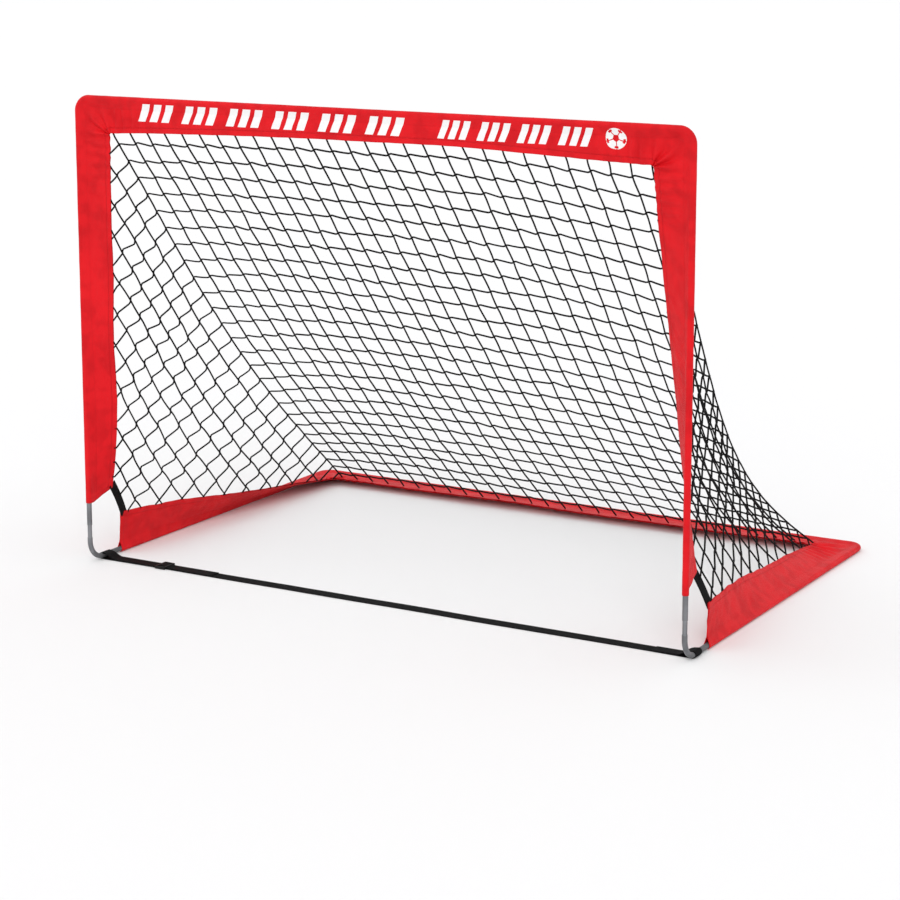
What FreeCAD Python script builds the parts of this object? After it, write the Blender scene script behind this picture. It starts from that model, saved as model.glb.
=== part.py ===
"""Portable soccer goal frame, 4 ft by 3 ft class: push-fit steel tubes in fabric sleeves, with a net.

Millimetres, +Z up, +Y from the goal mouth to the back. The origin is the middle of the goal line,
on the ground, under the ground strap.
"""

import FreeCAD, Part
import Sketcher
import math
import os

Vector = FreeCAD.Vector
Rotation = FreeCAD.Rotation
Placement = FreeCAD.Placement

doc = FreeCAD.newDocument("soccer_goal_frame")

# ---------------------------------------------------------------- driving dimensions
SIZES = {
    # outside of the whole goal, over the sleeves
    "goal_width": 1220,
    "goal_height": 870,
    "goal_depth": 820,
    # the goal line lies this far behind the posts
    "line_setback": 45,
    # tube
    "tube_radius": 4.75,
    "tube_wall": 0.75,
    "foot_bend": 36,
    "corner_bend": 24,
    # push-fit joints: a swaged end slides into the next tube
    "spigot_length": 50,
    "fit_gap": 0.05,
    "neck_radius": 4.15,
    "neck_length": 24,
    "foot_shoulder": 49,
    "swage_taper": 4,
    "foot_leg": 64,
    "corner_leg": 30,
    # sleeves: a pocket round the tube and a flat band that the net is sewn to
    "pocket_radius": 6.15,
    "pocket_bore": 5.05,
    "band_width": 72,
    "top_band_width": 58,
    "band_overlap": 0.4,
    "band_thick": 1.6,
    "hem_thick": 1.1,
    "seam_gap": 0.5,
    "post_sleeve_foot": 115,
    "side_sleeve_start": 88,
    # webbing
    "strap_width": 25,
    "strap_thick": 1.35,
    "strap_bore": 4.95,
    "strap_fold": 250,
    "web_width": 18,
    "web_thick": 1.2,
    "web_clear": 2,
    # strap slider
    "slider_place": 137,
    "slider_length": 22,
    "slider_width": 33,
    "slider_thick": 2.2,
    "slider_slot": 5.5,
    "slider_bar": 3,
    "slider_rise": 3.1,
    "slider_clear": 0.3,
    # net
    "net_thick": 1.2,
    "net_gap": 10,
}

sheet = doc.addObject("Spreadsheet::Sheet", "Sizes")
for row, (alias, value) in enumerate(SIZES.items(), start=1):
    sheet.set(f"A{row}", alias)
    sheet.set(f"B{row}", str(value))
    sheet.setAlias(f"B{row}", alias)
doc.recompute()


def size(alias):
    """The value of one cell of the sheet."""
    return float(sheet.get(alias))


# centre lines of the tubes, worked out from the driving dimensions
TUBE_X = "Sizes.goal_width / 2 - Sizes.pocket_radius"
FRONT_Y = "-Sizes.line_setback"
REAR_Y = "Sizes.goal_depth - 2 * Sizes.pocket_radius - Sizes.line_setback"
GROUND_Z = "Sizes.pocket_radius"
TOP_Z = "Sizes.goal_height - Sizes.pocket_radius"

tube_x = size("goal_width") / 2 - size("pocket_radius")
front_y = -size("line_setback")
rear_y = size("goal_depth") - 2 * size("pocket_radius") - size("line_setback")
ground_z = size("pocket_radius")
top_z = size("goal_height") - size("pocket_radius")

BORE = "Sizes.tube_radius - Sizes.tube_wall"
SPIGOT = "Sizes.tube_radius - Sizes.tube_wall - Sizes.fit_gap"
SPIGOT_BORE = "Sizes.tube_radius - 2 * Sizes.tube_wall - Sizes.fit_gap"

SIDES = (("left", -1), ("right", 1))
parts = {}


def keep(label, item):
    """Name one finished sub-part."""
    item.Label = label
    parts[label] = item
    return item


def bind(item, expressions):
    """Bind properties of an object to the sheet."""
    for name, expression in expressions.items():
        item.setExpression(name, expression)


def placed(item, rotation, x, y, z):
    """Turn a finished object and bind its position to the sheet."""
    item.Placement = Placement(Vector(0, 0, 0), rotation)
    bind(item, {"Placement.Base.x": x, "Placement.Base.y": y, "Placement.Base.z": z})
    return item


def facing(x_axis, y_axis):
    """The rotation that carries local +X and +Y to these directions."""
    x_axis, y_axis = Vector(*x_axis), Vector(*y_axis)
    return Rotation(x_axis, y_axis, x_axis.cross(y_axis), "XYZ")


def rod(name, radius, length, axis, x, y, z):
    """A cylinder that starts at a point and runs along a local axis."""
    item = doc.addObject("Part::Cylinder", name)
    bind(item, {"Radius": radius, "Height": length})
    return placed(item, Rotation(Vector(0, 0, 1), Vector(*axis)), x, y, z)


def quarter_bend(name, bend, radius):
    """A quarter of a ring about local Z, from +X round to +Y."""
    item = doc.addObject("Part::Torus", name)
    item.Angle3 = 90
    bind(item, {"Radius1": bend, "Radius2": radius})
    return item


def joined(name, items):
    """One object that fuses the items."""
    item = doc.addObject("Part::MultiFuse", name)
    item.Shapes = items
    item.Refine = True
    return item


def cut(name, base, tool):
    """The base with the tool taken away."""
    item = doc.addObject("Part::Cut", name)
    item.Base = base
    item.Tool = tool
    return item


# ---------------------------------------------------------------- tubes
def straight_tube(label, length, swaged, rotation, x, y, z):
    """A tube along local +Z, with a swaged spigot at its far end if it has one."""
    up = (0, 0, 1)
    walls = [rod(label + "_wall", "Sizes.tube_radius", length, up, "0", "0", "0")]
    open_length = f"{length} - Sizes.swage_taper" if swaged else length
    bores = [rod(label + "_bore", BORE, open_length, up, "0", "0", "0")]
    if swaged:
        walls.append(rod(label + "_spigot", SPIGOT, "Sizes.spigot_length", up, "0", "0", length))
        bores.append(rod(label + "_throat", SPIGOT_BORE, "Sizes.spigot_length + Sizes.swage_taper", up,
                         "0", "0", open_length))
        tube = cut(label, joined(label + "_walls", walls), joined(label + "_bores", bores))
    else:
        tube = cut(label, walls[0], bores[0])
    return keep(label, placed(tube, rotation, x, y, z))


def elbow(label, bend, legs, rotation, x, y, z):
    """A quarter bend whose corner point is the local origin.

    Local -Y and -X are the two legs. Each leg is (straight length, neck length): the neck is the
    narrow stretch between the tube's shoulder and the end of the tube that is pushed on.
    """
    centre = f"-({bend})"
    walls = [quarter_bend(label + "_bend", bend, "Sizes.tube_radius")]
    bores = [quarter_bend(label + "_bend_bore", bend, SPIGOT_BORE)]
    for item in walls + bores:
        bind(item, {"Placement.Base.x": centre, "Placement.Base.y": centre})
    for number, (axis, (leg, neck)) in enumerate(zip(((0, -1, 0), (-1, 0, 0)), legs)):

        def at(distance):
            """The point of this leg at a distance from the end of the bend."""
            along = f"-({bend}) - ({distance})"
            return ("0", along, "0") if axis[1] else (along, "0", "0")

        reach = f"{leg} + {neck} + Sizes.spigot_length"
        walls.append(rod(f"{label}_leg_{number}", "Sizes.tube_radius", leg, axis, *at("0")))
        if neck != "0":
            walls.append(rod(f"{label}_neck_{number}", "Sizes.neck_radius", neck, axis, *at(leg)))
        end = at(f"{leg} + {neck}")
        walls.append(rod(f"{label}_spigot_{number}", SPIGOT, "Sizes.spigot_length", axis, *end))
        bores.append(rod(f"{label}_bore_{number}", SPIGOT_BORE, reach, axis, *at("0")))
    tube = cut(label, joined(label + "_walls", walls), joined(label + "_bores", bores))
    return keep(label, placed(tube, rotation, x, y, z))


FOOT_LEGS = (
    ("(Sizes.foot_shoulder - Sizes.pocket_radius - Sizes.foot_bend)", "Sizes.neck_length"),
    ("Sizes.foot_leg", "0"),
)
CORNER_LEGS = (("Sizes.corner_leg", "0"), ("Sizes.corner_leg", "0"))
CORNER_REACH = "(Sizes.corner_bend + Sizes.corner_leg)"
POST_FOOT = "(Sizes.foot_shoulder + Sizes.neck_length + Sizes.fit_gap)"
POST_TOP = f"(Sizes.goal_height - Sizes.pocket_radius - {CORNER_REACH} - Sizes.fit_gap)"
SIDE_START = "(Sizes.foot_bend + Sizes.foot_leg - Sizes.line_setback)"
SIDE_END = f"({REAR_Y} - {CORNER_REACH} - Sizes.fit_gap)"
UNTURNED = Rotation()
BACKWARD = Rotation(Vector(0, 0, 1), Vector(0, 1, 0))
RIGHTWARD = Rotation(Vector(0, 0, 1), Vector(1, 0, 0))

for side, sign in SIDES:
    x_line = f"{sign} * ({TUBE_X})"
    elbow(f"foot_elbow_{side}", "Sizes.foot_bend", FOOT_LEGS,
          facing((0, -1, 0), (0, 0, -1)), x_line, FRONT_Y, GROUND_Z)
    elbow(f"top_elbow_{side}", "Sizes.corner_bend", CORNER_LEGS,
          facing((sign, 0, 0), (0, 0, 1)), x_line, FRONT_Y, TOP_Z)
    elbow(f"rear_elbow_{side}", "Sizes.corner_bend", CORNER_LEGS,
          facing((sign, 0, 0), (0, 1, 0)), x_line, REAR_Y, GROUND_Z)

    post_half = f"(({POST_TOP}) - ({POST_FOOT})) / 2"
    straight_tube(f"post_tube_lower_{side}", post_half, True, UNTURNED, x_line, FRONT_Y, POST_FOOT)
    straight_tube(f"post_tube_upper_{side}", post_half, False, UNTURNED, x_line, FRONT_Y,
                  f"{POST_FOOT} + {post_half}")
    side_half = f"(({SIDE_END}) - ({SIDE_START})) / 2"
    straight_tube(f"side_tube_front_{side}", side_half, True, BACKWARD, x_line, SIDE_START, GROUND_Z)
    straight_tube(f"side_tube_rear_{side}", side_half, False, BACKWARD, x_line,
                  f"{SIDE_START} + {side_half}", GROUND_Z)

for row, y_line, z_line in (("top", FRONT_Y, TOP_Z), ("rear", REAR_Y, GROUND_Z)):
    half_span = f"({TUBE_X} - {CORNER_REACH})"
    straight_tube(f"{row}_tube_left", half_span, True, RIGHTWARD, f"-{half_span}", y_line, z_line)
    straight_tube(f"{row}_tube_right", half_span, False, RIGHTWARD, "0", y_line, z_line)


# ---------------------------------------------------------------- sleeves with a straight hem
def arch_core(name, radius, leg):
    """A rod along a tube line with two corners: legs at both ends, about the tube's centre line."""
    bend = "Sizes.corner_bend"
    pieces = []
    for side, sign in SIDES:
        corner = quarter_bend(f"{name}_corner_{side}", bend, radius)
        turn = facing((sign, 0, 0), (0, 1, 0))
        placed(corner, turn, f"{sign} * ({TUBE_X} - {bend})", f"-{bend}", "0")
        down = rod(f"{name}_leg_{side}", radius, leg, (0, -1, 0), f"{sign} * ({TUBE_X})", f"-{bend}", "0")
        pieces += [corner, down]
    span = rod(f"{name}_span", radius, f"2 * ({TUBE_X} - {bend})", (1, 0, 0),
               f"-({TUBE_X} - {bend})", "0", "0")
    return joined(name, pieces + [span])


BLANK_DEPTH = 40
EDGE_SLACK = 0.01


def corner_sleeve(label, width, hem_thick, rotation, x, y, z):
    """A sleeve round two corners and the span between, with a flat band on its inner side.

    Local X is along the span, local -Y is towards the band's free edge.
    """
    leg = f"({width} - Sizes.corner_bend)"
    outer = arch_core(label + "_pocket", "Sizes.pocket_radius", leg)
    bore = arch_core(label + "_bore", "Sizes.pocket_bore", leg)
    band = doc.addObject("Part::Box", label + "_band")
    bind(band, {"Length": f"2 * ({TUBE_X})", "Width": width, "Height": hem_thick})
    placed(band, UNTURNED, f"-({TUBE_X})", f"-{width}", f"-{hem_thick} / 2")
    rounded = doc.addObject("Part::Box", label + "_blank")
    bind(rounded, {"Length": f"2 * ({TUBE_X})", "Width": width, "Height": f"{BLANK_DEPTH}"})
    placed(rounded, UNTURNED, f"-({TUBE_X})", f"-{width}", f"-{BLANK_DEPTH / 2}")
    doc.recompute()
    corners = doc.addObject("Part::Fillet", label + "_outline")
    corners.Base = rounded
    upright = [
        number
        for number, edge in enumerate(rounded.Shape.Edges, start=1)
        if abs(edge.BoundBox.ZLength - BLANK_DEPTH) < EDGE_SLACK and abs(edge.CenterOfMass.y) < EDGE_SLACK
    ]
    bend = size("corner_bend")
    corners.Edges = [(number, bend, bend) for number in upright]
    trimmed = doc.addObject("Part::Common", label + "_hem")
    trimmed.Base = band
    trimmed.Tool = corners
    sleeve = cut(label, joined(label + "_cloth", [outer, trimmed]), bore)
    return keep(label, placed(sleeve, rotation, x, y, z))


corner_sleeve("top_sleeve", "Sizes.top_band_width", "Sizes.band_thick",
              facing((1, 0, 0), (0, 0, 1)), "0", FRONT_Y, TOP_Z)
corner_sleeve("rear_sleeve", "Sizes.band_width", "Sizes.hem_thick",
              facing((1, 0, 0), (0, 1, 0)), "0", REAR_Y, GROUND_Z)


# ---------------------------------------------------------------- twisted sleeves and the net
def blade(start, end, thickness, side_axis):
    """A closed flat outline from start to end, as thick as given along side_axis."""
    offset = Vector(side_axis).normalize() * (thickness / 2)
    corners = [start - offset, end - offset, end + offset, start + offset]
    return Part.makePolygon(corners + [corners[0]])


def twisted_band(stations, thickness):
    """A ruled band through stations of (point on the tube's line, direction, width, thickness axis)."""
    root = size("pocket_bore") + size("band_overlap")
    wires = [
        blade(point + way * root, point + way * width, thickness, across)
        for point, way, width, across in stations
    ]
    return Part.makeLoft(wires, True, True)


def pocket(start, axis, length):
    """The round pocket of a sleeve."""
    outer = Part.makeCylinder(size("pocket_radius"), length, start, axis)
    return outer.cut(Part.makeCylinder(size("pocket_bore"), length, start, axis))


def cloth(label, shape):
    """Hold a worked-out cloth solid as one sub-part."""
    item = doc.addObject("Part::Feature", label)
    item.Shape = shape
    return keep(label, item)


band = size("band_width")
sleeve_foot = size("post_sleeve_foot")
sleeve_head = top_z - size("top_band_width") - size("seam_gap")

# How far the post bands have turned back from the mouth, in degrees, and how wide they lie, at
# fractions of the height from the head of the sleeve to its foot.
POST_TWIST = {
    "left": ((0.0, 0, 66), (0.35, 3, 63), (0.6, 12, 58), (0.8, 45, 54), (1.0, 76, 54)),
    "right": ((0.0, 6, 72), (0.25, 28, 72), (0.5, 46, 72), (0.75, 62, 72), (1.0, 79, 72)),
}
# The side bands stand up at the mouth and lie down inwards at the back.
SIDE_TWIST = ((0.0, 90, 72), (0.25, 72, 69), (0.5, 48, 66), (0.75, 22, 68), (1.0, 0, 72))


def post_edge(side, sign, height):
    """The free edge's direction and distance from the post, at a height."""
    share = (sleeve_head - height) / (sleeve_head - sleeve_foot)
    share = min(max(share, 0.0), 1.0)
    table = POST_TWIST[side]
    for (low, angle_low, width_low), (high, angle_high, width_high) in zip(table, table[1:]):
        if share <= high:
            part = (share - low) / (high - low)
            angle = math.radians(angle_low + part * (angle_high - angle_low))
            width = width_low + part * (width_high - width_low)
            return Vector(-sign * math.cos(angle), math.sin(angle), 0), width
    raise ValueError("height outside the sleeve")


def post_sleeve(side, sign):
    """The pocket and the twisted band of one post."""
    stations = []
    for share, _, _ in POST_TWIST[side]:
        height = sleeve_head - share * (sleeve_head - sleeve_foot)
        way, width = post_edge(side, sign, height)
        across = way.cross(Vector(0, 0, 1))
        stations.append((Vector(sign * tube_x, front_y, height), way, width, across))
    foot = Vector(sign * tube_x, front_y, sleeve_foot)
    tube_pocket = pocket(foot, Vector(0, 0, 1), sleeve_head - sleeve_foot)
    return tube_pocket.fuse(twisted_band(stations, size("band_thick"))).removeSplitter()


side_start = front_y + size("side_sleeve_start")
side_end = rear_y - band - size("seam_gap")


def side_edge(sign, share):
    """A point of a side band's free edge, and the station it comes from."""
    for (low, angle_low, width_low), (high, angle_high, width_high) in zip(SIDE_TWIST, SIDE_TWIST[1:]):
        if share <= high:
            part = (share - low) / (high - low)
            angle = math.radians(angle_low + part * (angle_high - angle_low))
            width = width_low + part * (width_high - width_low)
            break
    root = Vector(sign * tube_x, side_start + share * (side_end - side_start), ground_z)
    way = Vector(-sign * math.cos(angle), 0, math.sin(angle))
    return root, way, width, way.cross(Vector(0, 1, 0))


def side_sleeve(sign):
    """The pocket and the twisted band of one side tube."""
    stations = [side_edge(sign, share) for share, _, _ in SIDE_TWIST]
    tube_pocket = pocket(Vector(sign * tube_x, side_start, ground_z), Vector(0, 1, 0), side_end - side_start)
    return tube_pocket.fuse(twisted_band(stations, size("hem_thick"))).removeSplitter()


for side, sign in SIDES:
    cloth(f"post_sleeve_{side}", post_sleeve(side, sign))
    cloth(f"side_sleeve_{side}", side_sleeve(sign))

# The fold between the back and a side of the net, from the top corner to the rear corner. The net's
# own pull draws it inwards and forwards: (height, distance behind the posts, drawn inwards).
RIDGE = (
    (795, 12, 4), (717, 69, 5), (628, 135, 7), (494, 232, 15), (364, 334, 25), (243, 445, 34),
    (134, 569, 32), (69, 659, 20), (20, 733, 4),
)
# Below the post sleeve's foot, the net's sides end at the height of this fraction of the side band.
LOW_SHARE = 0.78


def ridge_point(sign, height, back, inward):
    """A point of the fold."""
    return Vector(sign * (tube_x - band - inward), front_y + back, height)


def net_back():
    """One slack sheet from the top sleeve down to the rear sleeve."""
    thickness = size("net_thick")
    wires = []
    for height, back, inward in RIDGE:
        half = tube_x - band - inward
        wires.append(blade(Vector(-half, front_y + back, height), Vector(half, front_y + back, height),
                           thickness, Vector(0, 1, 0)))
    return Part.makeLoft(wires, True, True)


def net_side(side, sign):
    """The sheet between a post sleeve, a side sleeve and the fold."""
    thickness = size("net_thick")
    gap = size("net_gap")
    wires = []
    for height, back, inward in RIDGE[1:]:
        fold = ridge_point(sign, height, back, inward)
        if height >= sleeve_foot:
            way, width = post_edge(side, sign, height)
            start = Vector(sign * tube_x, front_y, height) + way * (width + gap)
        else:
            root, way, width, _ = side_edge(sign, LOW_SHARE)
            start = root + way * (width + gap)
            start.z = height
        run = fold - start
        fold = start + run * (1 - gap / run.Length)
        wires.append(blade(start, fold, thickness, run.cross(Vector(0, 0, 1))))
    return Part.makeLoft(wires, True, True)


cloth("net_back", net_back())
for side, sign in SIDES:
    cloth(f"net_side_{side}", net_side(side, sign))


# ---------------------------------------------------------------- webbing
def corner_web(side, sign):
    """The short webbing between a post sleeve's foot and a side sleeve's front corner."""
    way, width = post_edge(side, sign, sleeve_foot)
    half_width = size("web_width") / 2
    clear = size("web_clear")
    high = Vector(sign * (tube_x - clear), front_y + way.y * (width + half_width + clear),
                  sleeve_foot + half_width)
    low = Vector(sign * tube_x, side_start + half_width, ground_z + band + half_width / 2 + 2 * clear)
    run = low - high
    across = Vector(1, 0, 0).cross(run).normalize() * half_width
    half = Vector(size("web_thick") / 2, 0, 0)
    corners = [high - across - half, high + across - half, high + across + half, high - across + half]
    return Part.Face(Part.makePolygon(corners + [corners[0]])).extrude(run)


for side, sign in SIDES:
    cloth(f"corner_web_{side}", corner_web(side, sign))

strap_pieces = []
for side, sign in SIDES:
    loop = rod(f"strap_loop_{side}", "Sizes.pocket_radius", "Sizes.strap_width", (0, 1, 0),
               f"{sign} * ({TUBE_X})", "-Sizes.strap_width / 2", GROUND_Z)
    eye = rod(f"strap_eye_{side}", "Sizes.strap_bore", "Sizes.strap_width", (0, 1, 0),
              f"{sign} * ({TUBE_X})", "-Sizes.strap_width / 2", GROUND_Z)
    strap_pieces.append(cut(f"strap_ring_{side}", loop, eye))
single = doc.addObject("Part::Box", "strap_single")
bind(single, {"Length": f"2 * ({TUBE_X})", "Width": "Sizes.strap_width", "Height": "Sizes.strap_thick"})
placed(single, UNTURNED, f"-({TUBE_X})", "-Sizes.strap_width / 2", "0")
double = doc.addObject("Part::Box", "strap_double")
bind(double, {"Length": "Sizes.strap_fold", "Width": "Sizes.strap_width", "Height": "2 * Sizes.strap_thick"})
placed(double, UNTURNED, f"-({TUBE_X}) + Sizes.pocket_radius", "-Sizes.strap_width / 2", "0")
webbing = joined("strap_webbing", strap_pieces + [single, double])
ends = [
    rod(f"strap_tube_{side}", "Sizes.strap_bore", "2 * Sizes.strap_width", (0, 1, 0),
        f"{sign} * ({TUBE_X})", "-Sizes.strap_width", GROUND_Z)
    for side, sign in SIDES
]
keep("ground_strap", cut("ground_strap", webbing, joined("strap_tubes", ends)))


# ---------------------------------------------------------------- strap slider
def rectangle(sketch, left, low, right, high):
    """Four lines with their corners joined, level and upright. Returns the first line's number."""
    corners = [Vector(left, low, 0), Vector(right, low, 0), Vector(right, high, 0), Vector(left, high, 0)]
    first = sketch.GeometryCount
    for start, end in zip(corners, corners[1:] + corners[:1]):
        sketch.addGeometry(Part.LineSegment(start, end), False)
    for number in range(4):
        sketch.addConstraint(Sketcher.Constraint("Coincident", first + number, 2, first + (number + 1) % 4, 1))
    for number, kind in enumerate(("Horizontal", "Vertical", "Horizontal", "Vertical")):
        sketch.addConstraint(Sketcher.Constraint(kind, first + number))
    return first


def fix(sketch, line, point, axis, expression, start_value):
    """Hold one point of a line at a distance from the sketch's origin, bound to the sheet."""
    kind = "DistanceX" if axis == "x" else "DistanceY"
    number = sketch.addConstraint(Sketcher.Constraint(kind, -1, 1, line, point, start_value))
    sketch.setExpression(f"Constraints[{number}]", expression)


def place_rectangle(sketch, left, low, right, high):
    """A rectangle with its edges bound to four expressions."""
    values = [float(sheet.evalExpression(text)) for text in (left, low, right, high)]
    line = rectangle(sketch, *values)
    fix(sketch, line, 1, "x", left, values[0])
    fix(sketch, line, 1, "y", low, values[1])
    fix(sketch, line + 1, 2, "x", right, values[2])
    fix(sketch, line + 1, 2, "y", high, values[3])


body = doc.addObject("PartDesign::Body", "strap_slider")
ground_plane = next(item for item in body.Origin.OriginFeatures if item.Role == "XY_Plane")
outline = body.newObject("Sketcher::SketchObject", "slider_outline")
outline.AttachmentSupport = (ground_plane, [""])
outline.MapMode = "FlatFace"
half_length = "Sizes.slider_length / 2"
half_width = "Sizes.slider_width / 2"
slot_width = "(Sizes.slider_width / 2 - Sizes.slider_bar)"
place_rectangle(outline, f"-{half_length}", f"-{half_width}", half_length, half_width)
for low, high in (
    (f"-{half_length} + Sizes.slider_bar", f"-{half_length} + Sizes.slider_bar + Sizes.slider_slot"),
    (f"{half_length} - Sizes.slider_bar - Sizes.slider_slot", f"{half_length} - Sizes.slider_bar"),
):
    place_rectangle(outline, low, f"-{slot_width}", high, slot_width)
plate = body.newObject("PartDesign::Pad", "slider_plate")
plate.Profile = outline
plate.setExpression("Length", "Sizes.slider_thick")

rails = body.newObject("Sketcher::SketchObject", "slider_rails")
rails.AttachmentSupport = (ground_plane, [""])
rails.MapMode = "FlatFace"
place_rectangle(rails, f"-{half_length}", f"-{half_width}", half_length, f"-{slot_width}")
place_rectangle(rails, f"-{half_length}", slot_width, half_length, half_width)
flanges = body.newObject("PartDesign::Pad", "slider_flanges")
flanges.Profile = rails
flanges.Reversed = True
flanges.setExpression("Length", "Sizes.slider_rise - Sizes.slider_clear")
doc.recompute()
body.Tip = flanges
keep("strap_slider", placed(body, UNTURNED, f"-({TUBE_X}) + Sizes.slider_place", "0", "Sizes.slider_rise"))


# ---------------------------------------------------------------- check and write
doc.recompute()
for item in doc.Objects:
    if "Invalid" in item.State or "Error" in item.State:
        raise RuntimeError(f"{item.Label} failed: {item.State}")

os.makedirs("parts", exist_ok=True)
for label, item in parts.items():
    shape = item.Shape
    if shape.isNull() or not shape.isValid() or shape.Volume <= 0 or not shape.Solids:
        raise RuntimeError(f"{label} has no valid solid")
    shape.exportStep(f"parts/{label}.step")
    print(f"{label}: {len(shape.Solids)} solid, {shape.Volume:.0f} mm3")
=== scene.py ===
"""Portable soccer goal: push-fit steel tubes in red cloth sleeves, with a slack knotted net.

Everything is in metres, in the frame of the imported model: +Z is up, and +Y runs from the mouth to the back.
"""

import logging
import math
from collections.abc import Iterator, Mapping, Sequence
from dataclasses import dataclass, field
from enum import Enum
from functools import cached_property
from random import Random
from typing import Any

import bmesh
import bpy
import numpy as np
from mathutils import Matrix, Vector, noise


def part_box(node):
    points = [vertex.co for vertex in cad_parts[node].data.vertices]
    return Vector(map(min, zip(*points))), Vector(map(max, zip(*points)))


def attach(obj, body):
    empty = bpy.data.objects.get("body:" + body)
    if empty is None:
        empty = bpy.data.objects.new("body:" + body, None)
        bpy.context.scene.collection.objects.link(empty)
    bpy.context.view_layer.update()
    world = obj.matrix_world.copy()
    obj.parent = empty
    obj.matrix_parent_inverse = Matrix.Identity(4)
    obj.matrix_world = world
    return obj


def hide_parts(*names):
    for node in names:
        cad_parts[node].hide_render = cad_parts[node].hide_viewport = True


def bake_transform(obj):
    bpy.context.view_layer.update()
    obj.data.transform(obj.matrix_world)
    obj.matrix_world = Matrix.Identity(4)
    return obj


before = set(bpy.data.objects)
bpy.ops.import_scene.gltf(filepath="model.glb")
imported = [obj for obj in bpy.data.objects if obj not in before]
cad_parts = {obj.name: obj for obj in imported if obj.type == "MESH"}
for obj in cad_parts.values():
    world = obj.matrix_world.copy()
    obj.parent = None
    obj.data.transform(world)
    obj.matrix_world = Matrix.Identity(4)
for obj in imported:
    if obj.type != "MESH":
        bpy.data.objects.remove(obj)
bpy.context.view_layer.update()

LOG = logging.getLogger("goal")
X, Y, Z = Vector((1, 0, 0)), Vector((0, 1, 0)), Vector((0, 0, 1))
# Height and depth where the net is cut into its top, middle and rear pieces.
LIFT_CUT = 0.5
REAR_CUT = 0.5
# A cross cord between two knots: shares of the way, and how far it stands off there.
KINK = ((0.07, 0.72), (0.16, 1.0), (0.36, 0.42), (0.64, -0.42), (0.84, -1.0), (0.93, -0.72))


class Side(Enum):
    """The two sides of the goal, as the sign of X."""

    LEFT = -1
    RIGHT = 1

    @property
    def word(self) -> str:
        """The side's name in lower case."""
        return self.name.lower()


class Plane(Enum):
    """How a sleeve's three runs lie."""

    UPRIGHT = "upright"
    LYING = "lying"


class Region(Enum):
    """One stretch of the net, cut apart from the others at a set height and depth."""

    TOP = "net_top"
    MIDDLE = "net_middle"
    REAR = "net_rear"


# ---------------------------------------------------------------- small sums
def ease(value: float) -> float:
    """0 to 1, slow at both ends."""
    value = min(max(value, 0.0), 1.0)
    return value * value * (3 - 2 * value)


def mix(low: float, high: float, share: float) -> float:
    """The value at a share of the way from low to high."""
    return low + (high - low) * share


def evenly(start: float, end: float, step: float) -> list[float]:
    """Values from start to end, about a step apart."""
    return list(np.linspace(start, end, max(2, round(abs(end - start) / step) + 1)))


def wander(seed: float, *place: float) -> float:
    """Smooth noise from about -1 to 1 at a place, different for each seed."""
    spot = [*place, 0.0, 0.0][:2]
    return noise.noise(Vector((spot[0], spot[1], seed * 7.31)))


def read_table(table: Sequence[Sequence[float]], share: float) -> list[float]:
    """Reads a table of (share, value, ...) rows along smooth curves.

    Args:
        table: rows in rising order of share.
        share: where to read it.

    Returns:
        The values at that share.
    """
    rows = np.array(table, float)
    slopes = np.gradient(rows[:, 1:], rows[:, 0], axis=0)
    share = min(max(share, rows[0, 0]), rows[-1, 0])
    low = min(int(np.searchsorted(rows[:, 0], share, "right")) - 1, len(rows) - 2)
    gap = rows[low + 1, 0] - rows[low, 0]
    t = (share - rows[low, 0]) / gap
    value = (
        (2 * t**3 - 3 * t**2 + 1) * rows[low, 1:]
        + (t**3 - 2 * t**2 + t) * gap * slopes[low]
        + (3 * t**2 - 2 * t**3) * rows[low + 1, 1:]
        + (t**3 - t**2) * gap * slopes[low + 1]
    )
    return list(value)


# ---------------------------------------------------------------- mesh helpers
def shown(name: str, shape: bmesh.types.BMesh, finish: bpy.types.Material) -> bpy.types.Object:
    """Makes a smooth-shaded piece of a mesh and shows it.

    Args:
        name: the piece's name.
        shape: its mesh, which is freed.
        finish: its material.

    Returns:
        The piece, at the origin.
    """
    mesh = bpy.data.meshes.new(name)
    for face in shape.faces:
        face.smooth = True
    shape.to_mesh(mesh)
    shape.free()
    mesh.materials.append(finish)
    piece = bpy.data.objects.new(name, mesh)
    bpy.context.scene.collection.objects.link(piece)
    LOG.info("%s: %d points", name, len(mesh.vertices))
    return piece


@dataclass
class Spot:
    """One point of a cloth grid: its place, its place in the flat pattern, and its marks."""

    place: Vector
    flat: tuple[float, float]
    marks: Mapping[str, float] = field(default_factory=dict)


def cloth_grid(spots: Sequence[Sequence[Spot]]) -> bmesh.types.BMesh:
    """A grid of cloth with a flat pattern and marks.

    Args:
        spots: the points, row by row.

    Returns:
        The mesh, with a UV map in metres and one float layer for each mark.
    """
    rows, columns = len(spots), len(spots[0])
    shape = bmesh.new()
    flat = shape.loops.layers.uv.new("UVMap")
    layers = {name: shape.verts.layers.float.new(name) for name in spots[0][0].marks}
    bmesh.ops.create_grid(shape, x_segments=rows - 1, y_segments=columns - 1, size=1.0)
    found: dict[bmesh.types.BMVert, Spot] = {}
    for point in shape.verts:
        row = round((point.co.x + 1) / 2 * (rows - 1))
        column = round((point.co.y + 1) / 2 * (columns - 1))
        found[point] = spots[row][column]
    for point, spot in found.items():
        point.co = spot.place
        for name, layer in layers.items():
            point[layer] = spot.marks[name]
    for face in shape.faces:
        for loop in face.loops:
            loop[flat].uv = found[loop.vert].flat
    return shape


def thicken(piece: bpy.types.Object, thickness: float) -> None:
    """Gives a sheet its thickness, half to each side.

    Args:
        piece: the sheet.
        thickness: its thickness in metres.
    """
    wall = piece.modifiers.new("Thickness", "SOLIDIFY")
    wall.thickness = thickness
    wall.offset = 0.0


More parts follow.
